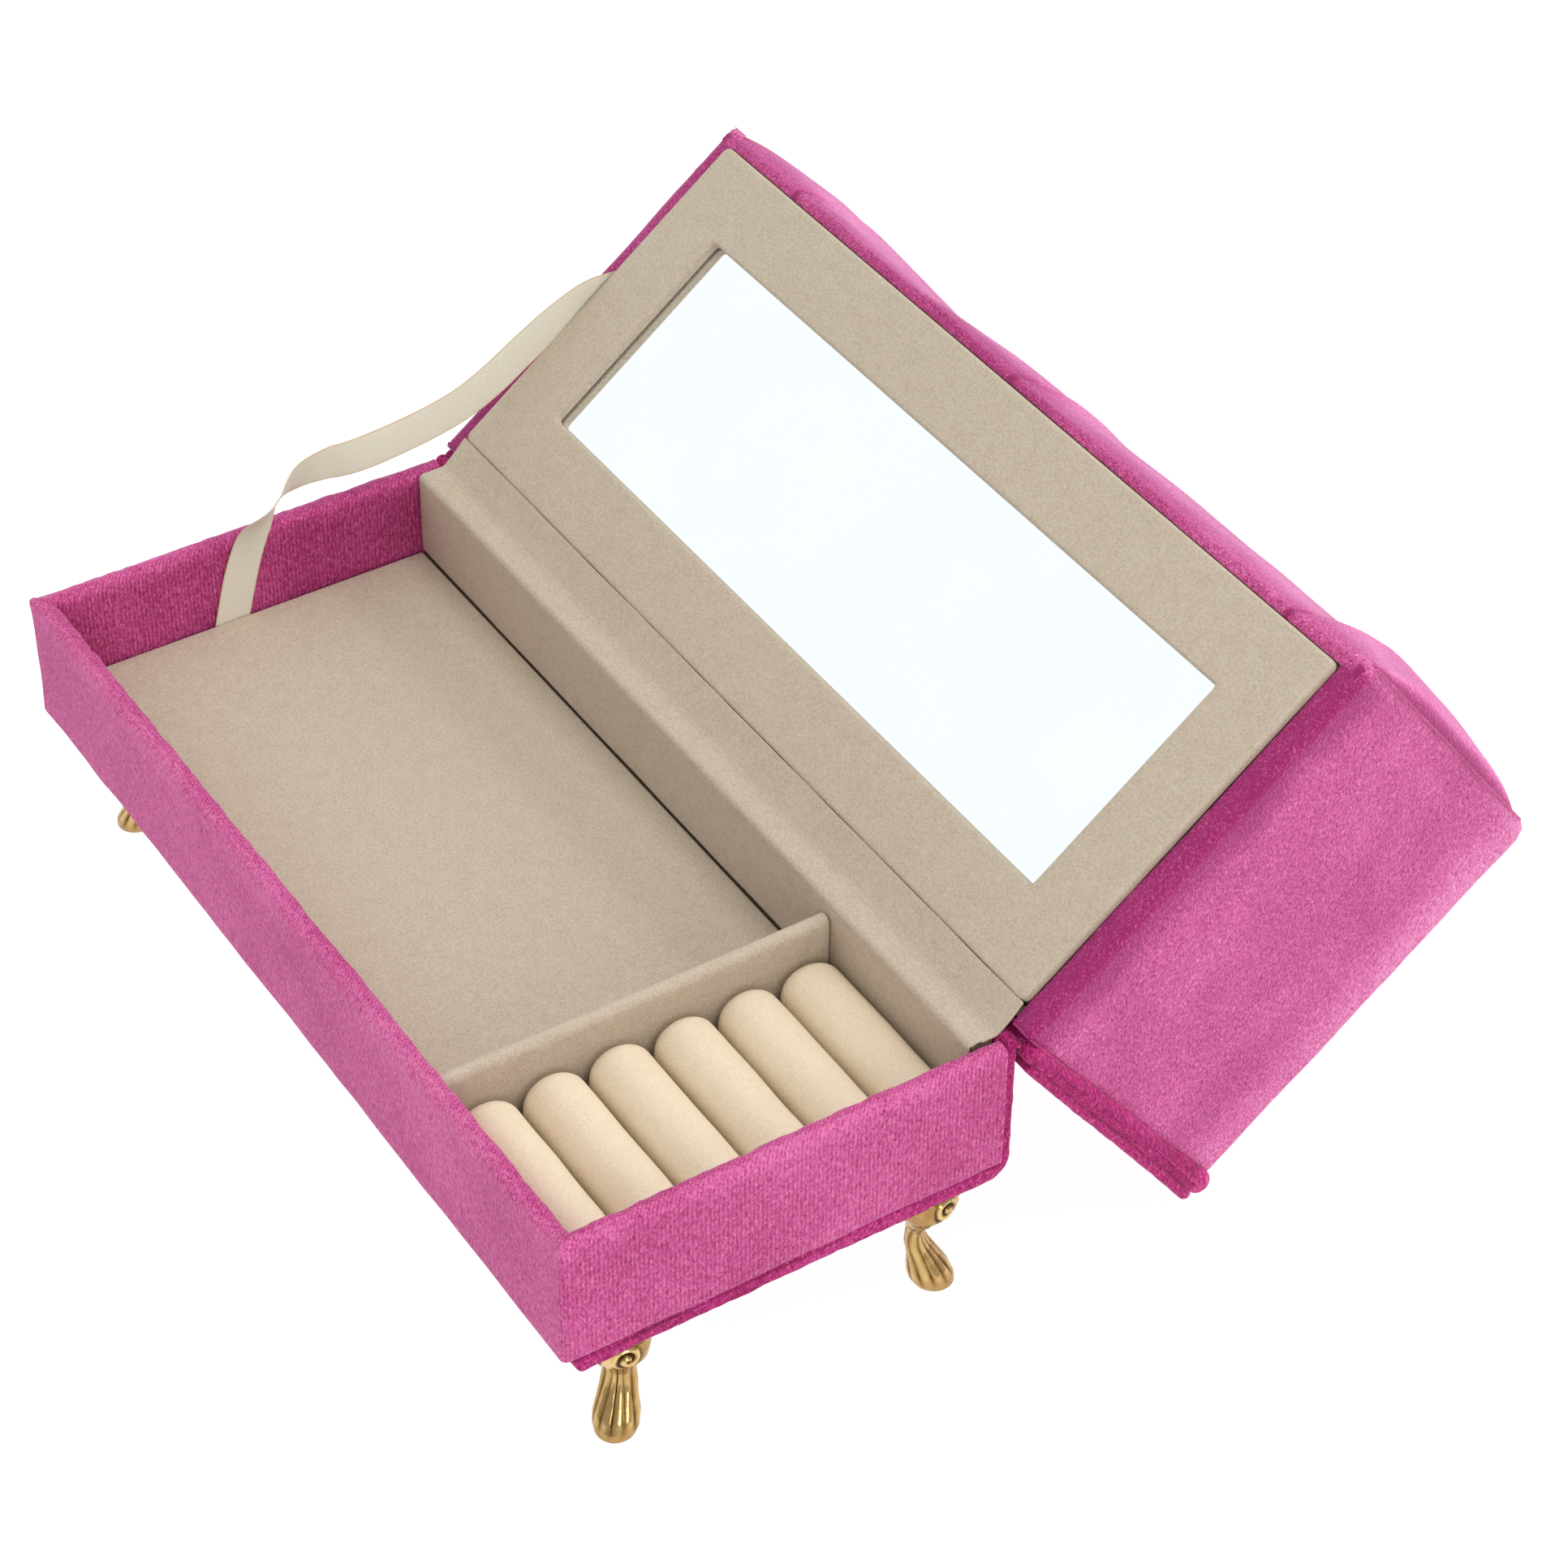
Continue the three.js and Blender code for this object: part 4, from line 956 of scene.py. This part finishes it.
cover_tip = touching_table(LID_BACK + cover_middle[-1], COVER_WIDTHS[-1] / 2)
cover_outline = leaning_strip(cover_middle, spine_low[2] + 0.3, cover_tip, COVER_WIDTHS)
rings = swept_x(spread(cover_outline, 1.2), -spine_high[0], spine_high[0], 2.0, 0.95)
rings = soften(soften(rings, 0.14, 12, 36.0), 0.14, 2.6, 38.0)
spine_cover = piece("spine_cover_soft", *loft(rings), "lid", SHADED_PLUSH, "velvet",
                    ("upper_spine_velvet", "upper_spine_board"), shut=True)
# Painted highlight: the cover is painted paler towards its tip, over a slight even painted lightening.
paint_light_and_shade(spine_cover, 0.2 + 0.5 * ramp(rings[..., 2], cover_tip - 4, cover_tip + 1))


# ---- Cloth at the hinge ----
def open_point(y, z):
    """Where a point of the shut lid's section is with the lid open."""
    return turned(np.array([[0, y, z]]), -open_angle)[0, 1:]


def cloth_strip(name, route, thickness, half, step, material, slot, node, shape, side_round):
    """A thin strip of cloth that follows a y, z route across the hinge."""
    fine = smooth_route(route, 34)
    outline = strip_outline(fine, [thickness] * len(fine), 4)
    rings = swept_x(outline, -half, half, step, side_round)
    rings = shape(rings)
    obj = piece(name, *loft(rings), None, material, slot, (node,), ride=False)
    length = float(np.linalg.norm(np.diff(fine, axis=0), axis=1).sum())
    return obj, length


def smooth_route(route, count):
    """A Catmull-Rom curve through the route's points, at even steps."""
    p = np.array(route, float)
    p = np.vstack([2 * p[0] - p[1], p, 2 * p[-1] - p[-2]])
    fine = []
    for i in range(1, len(p) - 2):
        for t in np.linspace(0, 1, 20, endpoint=i == len(p) - 3):
            a, b, c, d = p[i - 1:i + 3]
            fine.append(0.5 * (2 * b + (c - a) * t + (2 * a - 5 * b + 4 * c - d) * t * t
                               + (3 * b - a - 3 * c + d) * t ** 3))
    fine = np.array(fine)
    run = np.concatenate([[0], np.cumsum(np.linalg.norm(np.diff(fine, axis=0), axis=1))])
    at = np.linspace(0, run[-1], count)
    return np.stack([np.interp(at, run, fine[:, k]) for k in range(fine.shape[1])], 1)


panel_edge = open_point(panel_high[1] + 0.36, panel_low[2] + PANEL_EDGE_R)
lining_half = lining_high[0] + 0.2
lining_route = [(BACK - 2.5, RIM - 0.34), (BACK - 0.5, RIM - 0.27), (BACK + 0.2, RIM - 0.3),
                (BACK + 0.9, RIM - 0.05), (BACK + 2.1, RIM + 0.95), (BACK + 3.8, RIM + 2.5), tuple(panel_edge)]


def lining_shape(rings):
    """A little slack in the hinge lining."""
    return soften(rings, 0.12, 9, 41.0)


hinge_lining, length = cloth_strip("hinge_lining_suede", lining_route, 0.6, lining_half, 1.6, SUEDE,
                                   "suede", "hinge_lining", lining_shape, 0.25)
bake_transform(hinge_lining)

outer_root = open_point(LID_BACK + 4.6, spine_low[2] + 1.0)
pinch_half = cover_high[0] + 0.2
pinch_route = [(COVER_BACK - 1.3, COVER_TOP - 1.6), (COVER_BACK - 1.2, COVER_TOP - 0.2),
               (COVER_BACK - 0.4, COVER_TOP + 0.25), (COVER_BACK + 0.7, COVER_TOP - 0.3),
               (outer_root[0] - 0.9, (outer_root[1] + RIM) / 2 + 0.4), (outer_root[0] - 0.2, outer_root[1])]


def gathers(rings):
    """Small folds where the velvet is pinched between the two spines."""
    y, z = rings[..., 1], rings[..., 2]
    near = bump(np.hypot(y - (COVER_BACK + 0.3), z - COVER_TOP), 0, 2.6)
    fine = np.sin(rings[..., 0] * 1.15 + 2 * np.sin(rings[..., 0] * 0.21))
    rings[..., 2] += 0.32 * near * fine
    return soften(rings, 0.2, 6, 44.0)


hinge_pinch, length = cloth_strip("hinge_velvet_pinch", pinch_route, 1.1, pinch_half, 0.9, SHADED_PLUSH,
                                  "velvet", "hinge_velvet", gathers, 0.5)
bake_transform(hinge_pinch)

# ---- Ribbon stay ----
# The route is the CAD ribbon's, in y from the tray's middle and z, with the twist of the ribbon at each point.
TRAY_MIDDLE = (FRONT + BACK) / 2
RIBBON_ROUTE = [(-5.2, 38, 0), (-3.9, 44, 0), (-1.2, 54, 0), (2.2, 63, 10), (6.6, 70, 50), (13.5, 73.6, 16),
                (25.8, 73, -6), (39.4, 74, -8), (51, 76.2, -8), (59.5, 79.8, -8), (67.6, 84.6, -6), (76, 89.2, -4),
                (84.5, 92.4, 0), (91, 92.2, 0)]
RIBBON_HALF, RIBBON_THICK = 4.0, 0.3
RIBBON_X = box_mm("ribbon_stay")[0][0]


def ribbon():
    """The ribbon's mesh, and the points that its middle follows."""
    fine = smooth_route(RIBBON_ROUTE, 120)
    route, twist = fine[:, :2] + [TRAY_MIDDLE, 0], np.radians(fine[:, 2])
    along = np.gradient(route, axis=0)
    along /= np.linalg.norm(along, axis=1)[:, None]
    share = np.clip((route[:, 0] - route[0, 0]) / (route[-1, 0] - route[0, 0]), 0, 1)
    start_x, end_x = RIBBON_X + 0.9, RIBBON_X + 0.25
    rings, path, across = [], [], []
    lanes = np.linspace(-1, 1, 9)
    for (y, z), (ty, tz), a, s in zip(route, along, twist, share):
        wide = np.array([math.sin(a), -tz * math.cos(a), ty * math.cos(a)])
        thick = np.cross(wide, [0, ty, tz])
        middle = np.array([start_x + (end_x - start_x) * s + abs(math.sin(a)) * RIBBON_HALF, y, z])
        path.append(middle)
        ring = []
        for side, order in ((1, lanes), (-1, lanes[::-1])):
            for w in order:
                hem = 0.5 if abs(w) > 0.99 else 1.0 if abs(w) < 0.8 else 1.15
                cup = 0.18 * math.sin(a) * (1 - w * w)
                ring.append(middle + wide * w * RIBBON_HALF + thick * (side * RIBBON_THICK / 2 * hem + cup))
                across.append(abs(w))
        rings.append(ring)
    points, faces = loft(rings)
    obj = piece("ribbon_satin_stay", points, faces, None, SATIN, "satin", ("ribbon_stay",), ride=False)
    obj.data.attributes.new("across", "FLOAT", "POINT").data.foreach_set("value", across)
    return obj, np.array(path)


ribbon_stay, ribbon_path = ribbon()
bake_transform(ribbon_stay)

# ---- Finishes of the CAD nodes that stay ----
def finish_of(name):
    """The finish of a CAD node that stays, from its name."""
    if "board" in name or "backing" in name or "mouth_frame" in name:
        return BOARD
    if "foam" in name:
        return FOAM
    if "screw" in name or "washer" in name:
        return STEEL
    return MIRROR


for name, node in frame["nodes"].items():
    if not node.hide_render:
        node.data.materials.clear()
        node.data.materials.append(finish_of(name))


# ---- Floor and light ----
FLOOR_HALF, FLOOR_Z = 6, -0.0003


def floor():
    """A pale floor that glows a little, so that no dark or tinted shadow lies on it."""
    n = Nodes("pale_floor").set(Roughness=0.9, Specular_IOR_Level=0.1, Emission_Color=(1, 1, 1, 1),
                                Emission_Strength=0.95)
    tone = n.noise(3, 3)
    material = n.finish(n.stops(tone, (0.2, rgb(112, 112, 113)), (0.8, rgb(118, 118, 119))))
    mesh = bpy.data.meshes.new("floor")
    corners = [(x * FLOOR_HALF, y * FLOOR_HALF, FLOOR_Z) for x, y in ((-1, -1), (1, -1), (1, 1), (-1, 1))]
    mesh.from_pydata(corners, [], [(0, 1, 2, 3)])
    mesh.materials.append(material)
    obj = bpy.data.objects.new("floor", mesh)
    bpy.context.scene.collection.objects.link(obj)


def softbox(name, place, target, size, power, colour):
    data = bpy.data.lights.new(name, "AREA")
    data.shape, data.size, data.energy, data.color = "DISK", size, power, colour
    obj = bpy.data.objects.new(name, data)
    obj.location = place
    obj.rotation_euler = (Vector(target) - Vector(place)).to_track_quat("-Z", "Y").to_euler()
    bpy.context.scene.collection.objects.link(obj)


floor()
world = bpy.data.worlds.new("studio")
world.use_nodes = True
world.node_tree.nodes["Background"].inputs["Color"].default_value = (0.95, 0.98, 1.0, 1)
world.node_tree.nodes["Background"].inputs["Strength"].default_value = 0.5
bpy.context.scene.world = world
# The wide box stands where the mirror looks, so the glass shows it as an even pale field.
softbox("mirror_side", (-1.0, -0.84, 0.98), (0, 0.02, 0.09), 2.5, 8.7, (0.975, 0.99, 1.0))
softbox("key", (0.35, 0.2, 1.3), (0, 0, 0.05), 0.6, 6.0, (1.0, 0.985, 0.965))
softbox("side", (1.3, -0.35, 0.6), (0, 0, 0.06), 0.7, 4.3, (1.0, 0.99, 0.99))
softbox("back", (0.3, 1.2, 0.95), (0, 0.06, 0.09), 0.6, 8.0, (1.0, 0.99, 1.0))
